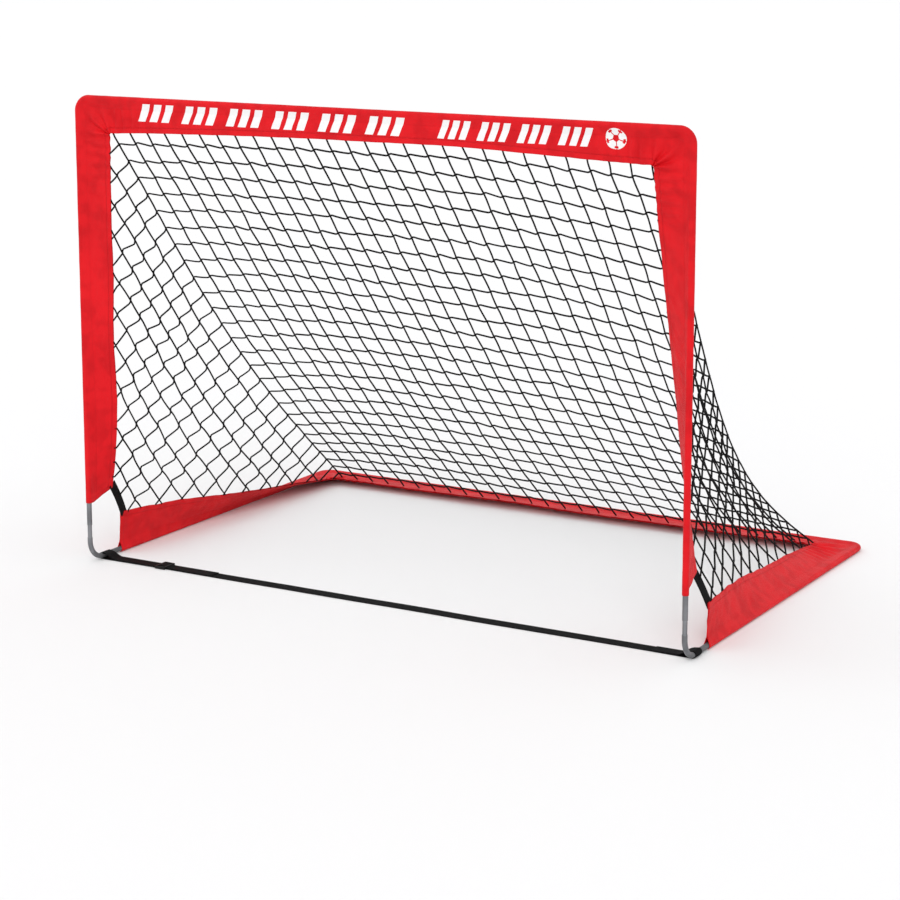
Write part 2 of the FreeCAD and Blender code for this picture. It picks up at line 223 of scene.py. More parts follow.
# ---------------------------------------------------------------- shader sums
class Signal:
    """A value in a material's nodes that takes part in Python sums."""

    def __init__(self, recipe: "Recipe", socket: bpy.types.NodeSocket) -> None:
        """Wraps one output socket of a recipe's node."""
        self.recipe = recipe
        self.socket = socket

    def math(self, operation: str, *values: Any) -> "Signal":
        """The result of a Math node on these values."""
        return self.recipe.node("ShaderNodeMath", {"operation": operation}, dict(enumerate(values)))

    def other(self, output: str | int) -> "Signal":
        """Another output of the same node."""
        return Signal(self.recipe, self.socket.node.outputs[output])

    def __add__(self, value: Any) -> "Signal":
        """Self + value."""
        return self.math("ADD", self, value)

    def __radd__(self, value: Any) -> "Signal":
        """Value + self."""
        return self.math("ADD", value, self)

    def __sub__(self, value: Any) -> "Signal":
        """Self - value."""
        return self.math("SUBTRACT", self, value)

    def __rsub__(self, value: Any) -> "Signal":
        """Value - self."""
        return self.math("SUBTRACT", value, self)

    def __mul__(self, value: Any) -> "Signal":
        """Self * value."""
        return self.math("MULTIPLY", self, value)

    def __rmul__(self, value: Any) -> "Signal":
        """Value * self."""
        return self.math("MULTIPLY", value, self)

    def __truediv__(self, value: Any) -> "Signal":
        """Self / value."""
        return self.math("DIVIDE", self, value)

    def __lt__(self, value: Any) -> "Signal":
        """1 where self is less than value."""
        return self.math("LESS_THAN", self, value)

    def __gt__(self, value: Any) -> "Signal":
        """1 where self is more than value."""
        return self.math("GREATER_THAN", self, value)

    def __abs__(self) -> "Signal":
        """The size of self."""
        return self.math("ABSOLUTE", self)

    def root(self) -> "Signal":
        """The square root of self."""
        return self.math("SQRT", self)

    def sine(self) -> "Signal":
        """The sine of self, in radians."""
        return self.math("SINE", self)

    def fraction(self) -> "Signal":
        """What is left of self above a whole number."""
        return self.math("FRACT", self)

    def most(self, value: Any) -> "Signal":
        """The larger of self and value."""
        return self.math("MAXIMUM", self, value)

    def between(self, low: float, high: float) -> "Signal":
        """0 below low, 1 above high, and smooth from one to the other."""
        sockets = {"Value": self, "From Min": low, "From Max": high}
        return self.recipe.node("ShaderNodeMapRange", {"interpolation_type": "SMOOTHSTEP"}, sockets)


class Recipe:
    """The nodes of one material."""

    def __init__(self, name: str) -> None:
        """Starts a material with no nodes.

        Args:
            name: the material's name.
        """
        self.material = bpy.data.materials.new(name)
        self.material.use_nodes = True
        self.tree = self.material.node_tree
        self.tree.nodes.clear()

    def node(
        self,
        kind: str,
        settings: Mapping[str, Any] | None = None,
        sockets: Mapping[str | int, Any] | None = None,
        output: int = 0,
    ) -> Signal:
        """Makes one node.

        Args:
            kind: the node's type.
            settings: its properties, which are set first.
            sockets: values or signals for its inputs, by name or number.
            output: which output to return.

        Returns:
            That output.
        """
        made = self.tree.nodes.new(kind)
        for name, value in (settings or {}).items():
            setattr(made, name, value)
        for key, value in (sockets or {}).items():
            if isinstance(value, Signal):
                self.tree.links.new(value.socket, made.inputs[key])
            else:
                made.inputs[key].default_value = value
        return Signal(self, made.outputs[output]) if made.outputs else Signal(self, None)

    def place(self) -> Signal:
        """The point in the goal's own frame."""
        return self.node("ShaderNodeTexCoord").other("Object")

    def flat(self) -> Signal:
        """The point in the flat pattern, in metres."""
        return self.node("ShaderNodeUVMap", {"uv_map": "UVMap"})

    def mark(self, name: str) -> Signal:
        """A float that the mesh carries."""
        return self.node("ShaderNodeAttribute", {"attribute_name": name}).other("Fac")

    def parts(self, vector: Signal) -> tuple[Signal, Signal, Signal]:
        """The three numbers of a vector."""
        first = self.node("ShaderNodeSeparateXYZ", None, {"Vector": vector})
        return first, first.other(1), first.other(2)

    def grain(
        self, vector: Signal, scale: float, detail: float = 2.0, stretch: Sequence[float] | None = None,
    ) -> Signal:
        """Noise from 0 to 1.

        Args:
            vector: where it is read.
            scale: how fine it is.
            detail: how many finer layers it has.
            stretch: a factor along each axis.

        Returns:
            The noise.
        """
        if stretch is not None:
            vector = self.node("ShaderNodeMapping", None, {"Vector": vector, "Scale": stretch})
        return self.node("ShaderNodeTexNoise", None, {"Vector": vector, "Scale": scale, "Detail": detail})

    def blend(self, share: Any, low: Any, high: Any) -> Signal:
        """A colour between two colours."""
        settings = {"data_type": "RGBA"}
        return self.node("ShaderNodeMix", settings, {0: share, 6: low, 7: high}, output=2)

    def bump(
        self, height: Signal, distance: float, strength: float = 1.0, under: Signal | None = None,
    ) -> Signal:
        """A bumped normal.

        Args:
            height: the relief, from 0 to 1.
            distance: how far 1 stands up, in metres.
            strength: how much of it shows.
            under: another bumped normal to start from.

        Returns:
            The normal.
        """
        sockets: dict[str | int, Any] = {"Height": height, "Distance": distance, "Strength": strength}
        if under is not None:
            sockets["Normal"] = under
        return self.node("ShaderNodeBump", None, sockets)

    def surface(self, **sockets: Any) -> bpy.types.Material:
        """Ends the recipe in a Principled shader.

        Args:
            **sockets: the shader's inputs, with underscores for spaces.

        Returns:
            The finished material.
        """
        named = {name.replace("_", " "): value for name, value in sockets.items()}
        shader = self.node("ShaderNodeBsdfPrincipled", None, named)
        self.node("ShaderNodeOutputMaterial", None, {"Surface": shader})
        return self.material


Colour = tuple[float, float, float, float]


def colour(red: float, green: float, blue: float) -> Colour:
    """An opaque colour."""
    return (red, green, blue, 1.0)


@dataclass(frozen=True)
class Print:
    """White marks printed on the front of the top sleeve, in the flat pattern."""

    middle: float = 0.8435
    height: float = 0.032
    slant: float = 0.42
    groups: tuple[tuple[float, int, float], ...] = ((-0.463, 6, 0.0945), (0.150, 4, 0.0740))
    bar_shares: tuple[tuple[float, float], ...] = ((0.0, 0.17), (0.27, 0.44), (0.54, 0.71))
    ball: tuple[float, float] = (0.469, 0.8435)
    ball_radius: float = 0.0182
    pentagon: float = 0.3
    seam: float = 0.045
    patch: tuple[float, float] = (0.72, 0.93)
    patch_half: float = 0.2
    turned: tuple[float, float] = (0.05, 0.15)

    def sector(self, turn: Signal, shift: float) -> Signal:
        """Where a direction lies in its fifth of the ball, from -0.5 to 0.5."""
        return ((turn / math.tau + shift) * 5.0 + 5.0).fraction() - 0.5

    def bars(self, along: Signal, up: Signal) -> Signal:
        """Draws the slanted bars.

        Args:
            along: metres across the goal.
            up: metres above the ground.

        Returns:
            1 on the bars.
        """
        total: Any = 0.0
        for start, count, pitch in self.groups:
            cell = (along - self.slant * (up - self.middle) - start) / pitch
            share = cell.fraction()
            for low, high in self.bar_shares:
                total = total + (share > low) * (share < high) * (cell > 0.0) * (cell < float(count))
        return total * (abs(up - self.middle) < self.height / 2)

    def ball_marks(self, along: Signal, up: Signal) -> tuple[Signal, Signal]:
        """Draws the ball: a pentagon, five seams from it, and five patches at the rim.

        Args:
            along: metres across the goal.
            up: metres above the ground.

        Returns:
            1 on its disc, and 1 on its dark marks.
        """
        across, rise = along - self.ball[0], up - self.ball[1]
        far = (across * across + rise * rise).root()
        turn = rise.math("ARCTAN2", rise, across)
        angle = self.sector(turn, self.turned[0]) * (math.tau / 5)
        pentagon = far * angle.math("COSINE", angle) < self.ball_radius * self.pentagon
        tip = self.sector(turn, self.turned[1])
        side = far * (tip * (math.tau / 5)).sine()
        seam = (abs(side) < self.ball_radius * self.seam) * (far > self.ball_radius * self.pentagon)
        inner, outer = (self.ball_radius * share for share in self.patch)
        patch = (far > inner) * (far < outer) * (abs(tip) < self.patch_half)
        return far < self.ball_radius, pentagon.most(seam).most(patch)


@dataclass(frozen=True)
class SleeveCloth:
    """Red coated polyester, plain woven, with sewn hems, and painted shade in its folds and grooves."""

    red: Colour = colour(0.70, 0.0075, 0.013)
    # Painted shade: a darker red that stands in for the shade of crumpled folds and sewn grooves.
    painted_shade_red: Colour = colour(0.53, 0.0045, 0.009)
    thread: Colour = colour(0.44, 0.0035, 0.0075)
    white: Colour = colour(0.84, 0.84, 0.84)
    yarn: float = 0.0007
    stitch: float = 0.0034
    hem_line: float = 0.0095
    seam_line: float = 0.0165
    foot_line: float = 0.009
    stitch_share: float = 0.74
    thread_half: tuple[float, float] = (0.00022, 0.0005)
    sheen: float = 0.12
    printed: Print | None = None

    def row(self, distance: Signal, line: float, run: Signal) -> Signal:
        """1 on a row of stitches at a distance from an edge."""
        dash = (run / self.stitch).fraction() < self.stitch_share
        return (1.0 - abs(distance - line).between(*self.thread_half)) * dash

    def make(self, name: str) -> bpy.types.Material:
        """Builds the material.

        Args:
            name: its name.

        Returns:
            The material.
        """
        recipe = Recipe(name)
        flat = recipe.flat()
        along, up, _ = recipe.parts(flat)
        hem, seam, run, foot = (recipe.mark(word) for word in ("hem", "seam", "run", "foot"))
        weave = (along * (math.tau / self.yarn)).sine() * (up * (math.tau / self.yarn)).sine()
        broad, fine = recipe.grain(flat, 11.0, 2.0), recipe.grain(flat, 60.0, 4.0)
        patches = recipe.grain(flat, 30.0, 1.5).between(0.42, 0.62)
        slub = recipe.grain(flat, 420.0, 2.0, (1.0, 0.12, 1.0))
        stitches = self.row(hem, self.hem_line, run) * 0.7
        stitches = stitches.most(self.row(seam, self.seam_line, run) * 0.25)
        stitches = stitches.most(self.row(foot, self.foot_line, hem) * 0.6)
        groove = (1.0 - abs(hem - self.hem_line).between(0.0004, 0.0026)) * 0.6
        groove = groove.most((1.0 - abs(seam - self.seam_line).between(0.0004, 0.003)) * 0.15)
        # Painted shade: broad noise darkens the red in patches, standing in for the shade of crumpled cloth.
        shade = (broad - 0.5) * 1.2 + (patches - 0.5) * 0.3 + (fine - 0.5) * 0.3 + (slub - 0.5) * 0.25
        shade = shade + weave * 0.05 + 0.4
        cloth = recipe.blend(shade.between(0.0, 1.0), self.red, self.painted_shade_red)
        # Painted shade: the hem and seam grooves are darkened in the colour.
        cloth = recipe.blend(groove * 0.28, cloth, self.painted_shade_red)
        cloth = recipe.blend(stitches, cloth, self.thread)
        ink: Any = 0.0
        if self.printed is not None:
            front = recipe.mark("front") > 0.02
            disc, dark = self.printed.ball_marks(along, up)
            worn = recipe.grain(flat, 900.0, 3.0).between(0.2, 0.34)
            ink = (self.printed.bars(along, up) * worn).most(disc * (1.0 - dark)) * front
            cloth = recipe.blend(ink, cloth, self.white)
        relief = recipe.bump(weave + slub * 0.8, 0.00012, 0.5)
        relief = recipe.bump(stitches * 0.8 - groove, 0.0009, 0.8, relief)
        relief = recipe.bump(recipe.grain(flat, 85.0, 3.0), 0.0011, 0.55, relief)
        rough = 0.5 + (fine - 0.5) * 0.16 - ink * 0.06
        return recipe.surface(Base_Color=cloth, Roughness=rough, Normal=relief, Specular_IOR_Level=self.sheen)


@dataclass(frozen=True)
class NetCord:
    """Black braided polyethylene cord."""

    black: Colour = colour(0.005, 0.0045, 0.005)
    worn: Colour = colour(0.016, 0.0145, 0.015)
    braid: float = 0.0016
    sheen: float = 0.1

    def make(self) -> bpy.types.Material:
        """Builds the material.

        Returns:
            The material.
        """
        recipe = Recipe("braided_cord")
        place = recipe.place()
        x, y, z = recipe.parts(place)
        turn = math.tau / self.braid
        braid = ((x + z * 0.8 + y * 0.6) * turn).sine() * ((x - z * 0.9 - y * 0.7) * turn).sine()
        fluff = recipe.grain(place, 900.0, 3.0)
        patches = recipe.grain(place, 14.0, 2.0)
        shade = braid * 0.25 + fluff * 0.6 + patches * 0.4 - 0.25
        return recipe.surface(
            Base_Color=recipe.blend(shade.between(0.0, 1.0), self.black, self.worn),
            Roughness=0.62 + fluff * 0.22,
            Normal=recipe.bump(braid * 0.6 + fluff * 0.7, 0.00035, 0.8),
            Specular_IOR_Level=self.sheen,
        )


@dataclass(frozen=True)
class Webbing:
    """Black ribbed polyester webbing with bound edges."""

    black: Colour = colour(0.0025, 0.0025, 0.003)
    worn: Colour = colour(0.011, 0.0105, 0.011)
    rib: float = 0.0022
    pick: float = 0.0011
    binding: tuple[float, float] = (0.0004, 0.0016)
    sheen: float = 0.08

    def make(self) -> bpy.types.Material:
        """Builds the material.

        Returns:
            The material.
        """
        recipe = Recipe("ribbed_webbing")
        flat = recipe.flat()
        along, across, _ = recipe.parts(flat)
        edge = recipe.mark("edge")
        rib = (across * (math.tau / self.rib)).sine()
        pick = (along * (math.tau / self.pick) + rib * 1.4).sine()
        fluff = recipe.grain(flat, 500.0, 3.0)
        dust = recipe.grain(flat, 26.0, 3.0)
        bound = 1.0 - edge.between(*self.binding)
        height = rib * 0.6 + pick * 0.4 + fluff * 0.4 + bound * 0.8
        shade = rib * 0.15 + pick * 0.12 + (fluff - 0.5) * 0.5 + (dust - 0.5) * 0.7 + 0.3
        return recipe.surface(
            Base_Color=recipe.blend(shade.between(0.0, 1.0), self.black, self.worn),
            Roughness=0.6 + fluff * 0.25,
            Normal=recipe.bump(height, 0.0003, 0.8),
            Specular_IOR_Level=self.sheen,
        )


@dataclass(frozen=True)
class TubeSteel:
    """Thin-walled steel tube, zinc plated and dulled, with rub marks."""

    bright: Colour = colour(0.26, 0.265, 0.28)
    dull: Colour = colour(0.13, 0.133, 0.142)
    grime: Colour = colour(0.04, 0.038, 0.036)
    shoulder: tuple[float, float] = (0.048, 0.0735)
    metal: float = 0.82
    wax: float = 0.04

    def make(self) -> bpy.types.Material:
        """Builds the material.

        Returns:
            The material.
        """
        recipe = Recipe("plated_tube")
        place = recipe.place()
        _, _, z = recipe.parts(place)
        cloud = recipe.grain(place, 34.0, 4.0)
        speck = recipe.grain(place, 700.0, 2.0)
        streak = recipe.grain(place, 240.0, 3.0, (1.0, 1.0, 0.05))
        low = 1.0 - z.between(0.004, 0.03)
        grime = (cloud + low * 0.35).between(0.62, 0.86)
        rubbed = (z > self.shoulder[0]) * (z < self.shoulder[1]) * streak.between(0.35, 0.7)
        shade = (cloud - 0.5) * 1.1 + (streak - 0.5) * 0.5 + 0.5 + rubbed * 0.3
        metal = recipe.blend(shade.between(0.05, 0.95), self.dull, self.bright)
        metal = recipe.blend(grime * 0.45, metal, self.grime)
        return recipe.surface(
            Base_Color=metal,
            Metallic=self.metal - grime * 0.35,
            Roughness=0.36 + cloud * 0.16 + grime * 0.2 - rubbed * 0.08,
            Normal=recipe.bump(speck * 0.5 + streak * 0.5, 0.00012, 0.6),
            Coat_Weight=self.wax,
        )


@dataclass(frozen=True)
class MouldedPlastic:
    """Satin black moulded plastic with a fine spark-eroded grain."""

    black: Colour = colour(0.004, 0.004, 0.0045)
    scuffed: Colour = colour(0.018, 0.018, 0.019)
    sheen: float = 0.2

    def make(self) -> bpy.types.Material:
        """Builds the material.

        Returns:
            The material.
        """
        recipe = Recipe("moulded_plastic")
        place = recipe.place()
        grain, scuff = recipe.grain(place, 2600.0, 2.0), recipe.grain(place, 160.0, 5.0)
        rubbed = scuff.between(0.56, 0.72)
        return recipe.surface(
            Base_Color=recipe.blend(rubbed * 0.6, self.black, self.scuffed),
            Roughness=0.38 + grain * 0.12 + rubbed * 0.2,
            Normal=recipe.bump(grain + scuff * 0.6, 0.0001, 0.6),
            Specular_IOR_Level=self.sheen,
        )


@dataclass(frozen=True)
class StudioFloor:
    """Pale matt floor."""

    pale: Colour = colour(0.86, 0.86, 0.865)
    dusty: Colour = colour(0.80, 0.80, 0.805)
    sheen: float = 0.1

    def make(self) -> bpy.types.Material:
        """Builds the material.

        Returns:
            The material.
        """
        recipe = Recipe("pale_floor")
        cloud = recipe.grain(recipe.place(), 3.0, 2.0)
        tone = recipe.blend(cloud * 0.04, self.pale, self.dusty)
        return recipe.surface(Base_Color=tone, Roughness=0.9, Specular_IOR_Level=self.sheen)


# ---------------------------------------------------------------- the frame's lines
@dataclass(frozen=True)
class Layout:
    """The tubes' centre lines and radius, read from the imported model."""

    tube_x: float
    front_y: float
    rear_y: float
    ground_z: float
    top_z: float
    tube_radius: float

    @classmethod
    def read(cls) -> "Layout":
        """Reads the lines from the tubes' boxes.

        Returns:
            The layout.
        """
        post_low, post_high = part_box("post_tube_lower_right")
        top_low, top_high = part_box("top_tube_left")
        rear_low, rear_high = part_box("rear_tube_left")
        return cls(
            tube_x=(post_low.x + post_high.x) / 2,
            front_y=(post_low.y + post_high.y) / 2,
            rear_y=(rear_low.y + rear_high.y) / 2,
            ground_z=(rear_low.z + rear_high.z) / 2,
            top_z=(top_low.z + top_high.z) / 2,
            tube_radius=(post_high.x - post_low.x) / 2,
        )


Turns = tuple[tuple[float, float, float], ...]

# Each leg's band from the corner to the leg's end: share of the way, degrees turned, and width.
TURNS: dict[Plane, dict[Side, Turns]] = {
    Plane.UPRIGHT: {
        Side.LEFT: (
            (0.0, 0, 0.069), (0.35, 3, 0.066), (0.6, 12, 0.060), (0.8, 45, 0.055), (1.0, 76, 0.054),
        ),
        Side.RIGHT: (
            (0.0, 6, 0.072), (0.25, 28, 0.072), (0.5, 46, 0.072), (0.75, 62, 0.072), (1.0, 79, 0.072),
        ),
    },
    Plane.LYING: {
        side: (
            (0.0, 7, 0.072), (0.25, 25, 0.067), (0.5, 43, 0.064), (0.75, 68, 0.068), (1.0, 90, 0.072),
        )
        for side in Side
    },
}


@dataclass
class Station:
    """One cross-section of a sleeve: a point of the tube's line, and the way to the free edge."""

    root: Vector
    along: Vector
    edge: Vector
    flat_root: Vector
    flat_edge: Vector
    run: float
    corner: float
    foot: float


@dataclass
class Sleeve:
    """A cloth sleeve round three runs of tube, with a doubled band along its inner side.

    The path goes up the left leg, along the span and down the right leg. In the sleeve's own plane, p runs
    from left to right and q runs from the legs' ends to the span.
    """

    layout: Layout
    plane: Plane
    start: float
    far: float
    finish: bpy.types.Material
    span_widths: tuple[tuple[float, float], ...] = ((0.0, 0.072), (0.5, 0.072), (1.0, 0.072))
    span_rise: float = 0.0
    bend: float = 0.024
    hem_round: float = 0.003
    pocket: float = 0.0056
    seam: float = 0.016
    cloth: float = 0.0005
    hem_gap: float = 0.0010
    seam_gap: float = 0.00035
    hem_columns: tuple[float, ...] = (0.0, 0.0018, 0.0045, 0.0075, 0.0105, 0.0145)
    foot_rise: float = 0.020
    foot_reach: float = 0.15
    corner_reach: float = 0.05
    lean_reach: float = 0.3
    sway: float = 0.0022
    sway_lengths: tuple[float, float] = (0.17, 0.055)
    crease: float = 0.0019
    crease_length: float = 0.021
    pucker: float = 0.00055
    pucker_length: float = 0.0085
    pucker_row: tuple[float, float] = (0.0095, 0.006)
    corner_folds: float = 2.7
    corner_dip: float = 0.0013
    puff: float = 0.0006
    slack: float = 0.035
    step: float = 0.0046
    fan_step: float = 0.0026
    first_fan: float = 0.0005
    seed: float = 1.0
    waver: float = 0.0006

    @property
    def band(self) -> float:
        """From the span tube's line to the free edge, at the corners."""
        return self.span_widths[0][1]

    @property
    def turns(self) -> dict[Side, Turns]:
        """How far each leg's band has turned, and its width, from the corner to the leg's end."""
        return TURNS[self.plane]

    @property
    def turned(self) -> Vector:
        """The direction that the legs' bands turn towards."""
        return Y if self.plane is Plane.UPRIGHT else Z

    @property
    def upward(self) -> Vector:
        """The direction of q."""
        return Z if self.plane is Plane.UPRIGHT else Y

    @property
    def head(self) -> float:
        """Where the legs' straight bands end."""
        return self.far - self.band - self.hem_round

    def point(self, p: float, q: float) -> Vector:
        """A point of the tube's plane.

        Args:
            p: metres to the right of the middle.
            q: metres towards the span.

        Returns:
            The point.
        """
        if self.plane is Plane.UPRIGHT:
            return Vector((p, self.layout.front_y, q))
        return Vector((p, q, self.layout.ground_z))

    def leg_way(self, side: Side, q: float) -> Vector:
        """From the tube's line to the free edge of a leg's band, before it ripples.

        Args:
            side: which leg.
            q: where along it.

        Returns:
            The way.
        """
        share = (self.head - q) / (self.head - self.start)
        angle, width = read_table(self.turns[side], share)
        angle = math.radians(angle)
        return (-side.value * math.cos(angle) * X + math.sin(angle) * self.turned) * width

    def corner_way(self, side: Side) -> Vector:
        """From the tube's line to the free edge where a leg meets the corner."""
        return self.leg_way(side, self.head)

    def span_ends(self) -> tuple[float, float]:
        """The span's straight band.

        Returns:
            Where it starts and ends, in p.
        """
        tube_x = self.layout.tube_x
        left, right = (abs(self.corner_way(side).x) + self.hem_round for side in (Side.LEFT, Side.RIGHT))
        return -(tube_x - left), tube_x - right

    def span_width(self, p: float) -> float:
        """From the span tube's line to the free edge, in the sleeve's plane."""
        low, high = self.span_ends()
        return read_table(self.span_widths, (p - low) / (high - low))[0]

    def span_way(self, p: float) -> Vector:
        """From the tube's line to the free edge of the span's band.

        Args:
            p: where along the span.

        Returns:
            The way, which leans at both ends as the corners do.
        """
        low, high = self.span_ends()
        lean = self.span_rise
        for side, end in ((Side.LEFT, low), (Side.RIGHT, high)):
            more = self.corner_way(side).dot(self.turned) - self.span_rise
            lean += more * (1 - ease(abs(p - end) / self.lean_reach))
        return -self.upward * self.span_width(p) + self.turned * lean

    def ripple(self, run: float, share: float, gap: float, corner: float) -> float:
        """How far the cloth stands off its plain shape.

        Args:
            run: metres along the sleeve.
            share: 0 at the tube and 1 at the free edge.
            gap: metres from the free edge.
            corner: 0 to 1 round a corner, and further from it on both sides.

        Returns:
            Metres towards the outer face.
        """
        loose = min(max(share, 0.0), 1.0)
        long, short = self.sway_lengths
        wave = self.sway * loose * wander(self.seed, run / long, loose * 0.9)
        wave += 0.45 * self.sway * loose * wander(self.seed + 1, run / short, loose * 1.7)
        folds = self.crease * 4 * loose * (1 - loose) + self.crease * 0.5 * loose
        wave += folds * 0.55 * wander(self.seed + 2, run / self.crease_length + loose * 3.0, loose * 2.0)
        row, spread = self.pucker_row
        pucker = self.pucker * math.exp(-(((gap - row) / spread) ** 2))
        wave += pucker * wander(self.seed + 3, run / self.pucker_length)
        near = 1 - ease((abs(corner - 0.5) - 0.6) / 2.6)
        turn = math.tau * self.corner_folds * corner
        rays = math.sin(turn + 2.4 * wander(self.seed + 4, corner * 1.3, loose))
        wave += near * 1.25 * folds * rays
        wave -= self.corner_dip * loose * math.exp(-(((corner - 0.5) / 0.045) ** 2))
        return wave

    def stations(self) -> list[Station]:
        """The cross-sections along the whole path.

        Returns:
            The cross-sections, from the left leg's end to the right leg's end.
        """
        made: list[Station] = []
        self._leg(Side.LEFT, made)
        self._fan(Side.LEFT, made)
        low, high = self.span_ends()
        for p in evenly(low, high, self.step)[1:-1]:
            corner = -min(p - low, high - p) / self.corner_reach
            flat_edge = -self.upward * self.band
            self._add(made, self.point(p, self.far), X, self.span_way(p), flat_edge, corner, 1.0)
        self._fan(Side.RIGHT, made)
        self._leg(Side.RIGHT, made)
        return made

    def _add(
        self, made: list[Station], root: Vector, along: Vector, edge: Vector, flat_edge: Vector,
        corner: float, foot: float,
    ) -> None:
        """Adds one cross-section, with its distance along the path.

        Args:
            made: the cross-sections so far.
            root: the point of the tube's line.
            along: the direction of the path.
            edge: the way to the free edge.
            flat_edge: the same way in the flat pattern.
            corner: 0 to 1 round a corner, and below 0 away from it.
            foot: metres from the leg's end.
        """
        run = made[-1].run + (root - made[-1].root).length if made else 0.0
        flats = (self._flatten(root), self._flatten(flat_edge))
        made.append(Station(root, along.normalized(), edge, *flats, run, corner, foot))

    def _flatten(self, point: Vector) -> Vector:
        """A point's p and q."""
        return Vector((point.x, point.dot(self.upward), 0))

    def _leg(self, side: Side, made: list[Station]) -> None:
        """Adds a leg's cross-sections.

        Args:
            side: which leg.
            made: the cross-sections so far.
        """
        heights = evenly(self.start, self.head, self.step)
        if side is Side.RIGHT:
            heights.reverse()
        for q in heights:
            root = self.point(side.value * self.layout.tube_x, q)
            flat_edge = -side.value * X * self.leg_way(side, q).length
            corner = -(self.head - q) / self.corner_reach
            along = self.upward * -side.value
            self._add(made, root, along, self.leg_way(side, q), flat_edge, corner, q - self.start)

    def _fan(self, side: Side, made: list[Station]) -> None:
        """Adds a corner's cross-sections, whose free edges all meet at the hem's corner.

        Args:
            side: which corner.
            made: the cross-sections so far.
        """
        sign, tube_x = side.value, self.layout.tube_x
        way = self.corner_way(side)
        inner = self.point(sign * tube_x, self.head + self.hem_round) + way
        flat_inner = self.point(sign * (tube_x - abs(way.x)), self.head + self.hem_round)
        rise = self.far - self.bend - self.head
        arc = math.pi / 2 * self.bend
        over = abs(way.x) + self.hem_round - self.bend
        total = rise + arc + over
        if side is Side.LEFT:
            distances = [self.first_fan, *evenly(0.0, total, self.fan_step)[1:-1], total]
        else:
            distances = [total, *evenly(total, 0.0, self.fan_step)[1:-1], self.first_fan]
        for distance in distances:
            if distance < rise:
                p, q, way_p, way_q = tube_x, self.head + distance, 0.0, 1.0
            elif distance < rise + arc:
                angle = (distance - rise) / self.bend
                p = tube_x - self.bend + self.bend * math.cos(angle)
                q = self.far - self.bend + self.bend * math.sin(angle)
                way_p, way_q = -math.sin(angle), math.cos(angle)
            else:
                p, q, way_p, way_q = tube_x - self.bend - (distance - rise - arc), self.far, -1.0, 0.0
            share = distance / total
            theta = share * math.pi / 2
            rounding = sign * (math.cos(theta) - 1) * X + (math.sin(theta) - 1) * self.upward
            rounding = self.hem_round * rounding
            root = self.point(sign * p, q)
            along = (sign * way_p * X + way_q * self.upward) * -sign
            self._add(made, root, along, inner + rounding - root, flat_inner + rounding - root, share, 1.0)

    def section(self, width: float) -> list[tuple[float, float, float]]:
        """The columns of the outer half, from the free edge to the far side of the pocket.

        Args:
            width: metres from the tube's line to the free edge.

        Returns:
            For each column, its distance from the tube's line towards the free edge, its distance off the
            band's middle, and its distance from the tube's line in the flat pattern.
        """
        made = []
        hem = [width - gap for gap in self.hem_columns]
        middle = np.linspace(hem[-1], self.seam, 9)[1:]
        for u in [*hem, *middle]:
            share = (u - self.seam) / (width - self.seam)
            made.append((u, mix(self.seam_gap, self.hem_gap, share), u))
        angle = math.acos(self.pocket / self.seam)
        touch = (self.pocket * math.cos(angle), self.pocket * math.sin(angle))
        made.append((
            mix(self.seam, touch[0], 0.5), mix(self.seam_gap, touch[1], 0.5), mix(self.seam, 0.001, 0.5),
        ))
        for beta in np.linspace(angle, math.pi, 7):
            flat = 0.001 - self.pocket * (beta - angle)
            made.append((self.pocket * math.cos(beta), self.pocket * math.sin(beta), flat))
        return made

    def spots(self, station: Station) -> list[Spot]:
        """The grid's points at one cross-section.

        Args:
            station: the cross-section.

        Returns:
            The points, from the outer layer's hem to the inner layer's hem.
        """
        width = station.edge.length
        toward = station.edge / width
        square = (toward - station.along * toward.dot(station.along)).normalized()
        normal = square.cross(station.along)
        upward = self.upward
        flat_toward = station.flat_edge.normalized()
        outer = self.section(width)
        columns = [(u, v, flat, 1.0) for u, v, flat in outer]
        columns += [(u, -v, flat, -1.0) for u, v, flat in outer[-2::-1]]
        made = []
        for u, v, flat, face in columns:
            share = (u - 0.012) / (width - 0.012)
            lean = ease((u - 0.005) / 0.016)
            way = square.lerp(toward, lean).normalized()
            gap = width - u
            loose = max(share, 0.0)
            move, puff, slack = 0.0, 0.0, 1.0
            if share > 0:
                move = self.ripple(station.run, share, gap, station.corner)
                puff = self.puff * wander(self.seed + 5, station.run / 0.03, u / 0.02 + face * 9)
                puff *= 4 * loose * (1 - min(share, 1))
            else:
                slack += self.slack * wander(self.seed + 6, station.run / 0.02, v * 300)
            stretch = self.waver * loose * wander(self.seed + 7, station.run / 0.03)
            place = station.root + way * (u * slack + stretch) + normal * (v * slack + move + puff * face)
            if station.foot < self.foot_reach:
                place += upward * self.foot_rise * loose * (1 - station.foot / self.foot_reach)
            place.z = max(place.z, 0.0013 if face > 0 else 0.0004)
            flat_place = station.flat_root + flat_toward * flat
            front = face if u < width - 1e-6 or face > 0 else -1.0
            marks = {"hem": gap, "seam": u, "front": front, "run": station.run, "foot": station.foot}
            made.append(Spot(place, (flat_place.x, flat_place.y), marks))
        return made

    def build(self, name: str) -> tuple[bpy.types.Object, float]:
        """Builds the sleeve.

        Args:
            name: the piece's name.

        Returns:
            The piece, and its length along the tubes.
        """
        stations = self.stations()
        piece = shown(name, cloth_grid([self.spots(station) for station in stations]), self.finish)
        thicken(piece, self.cloth)
        return piece, stations[-1].run

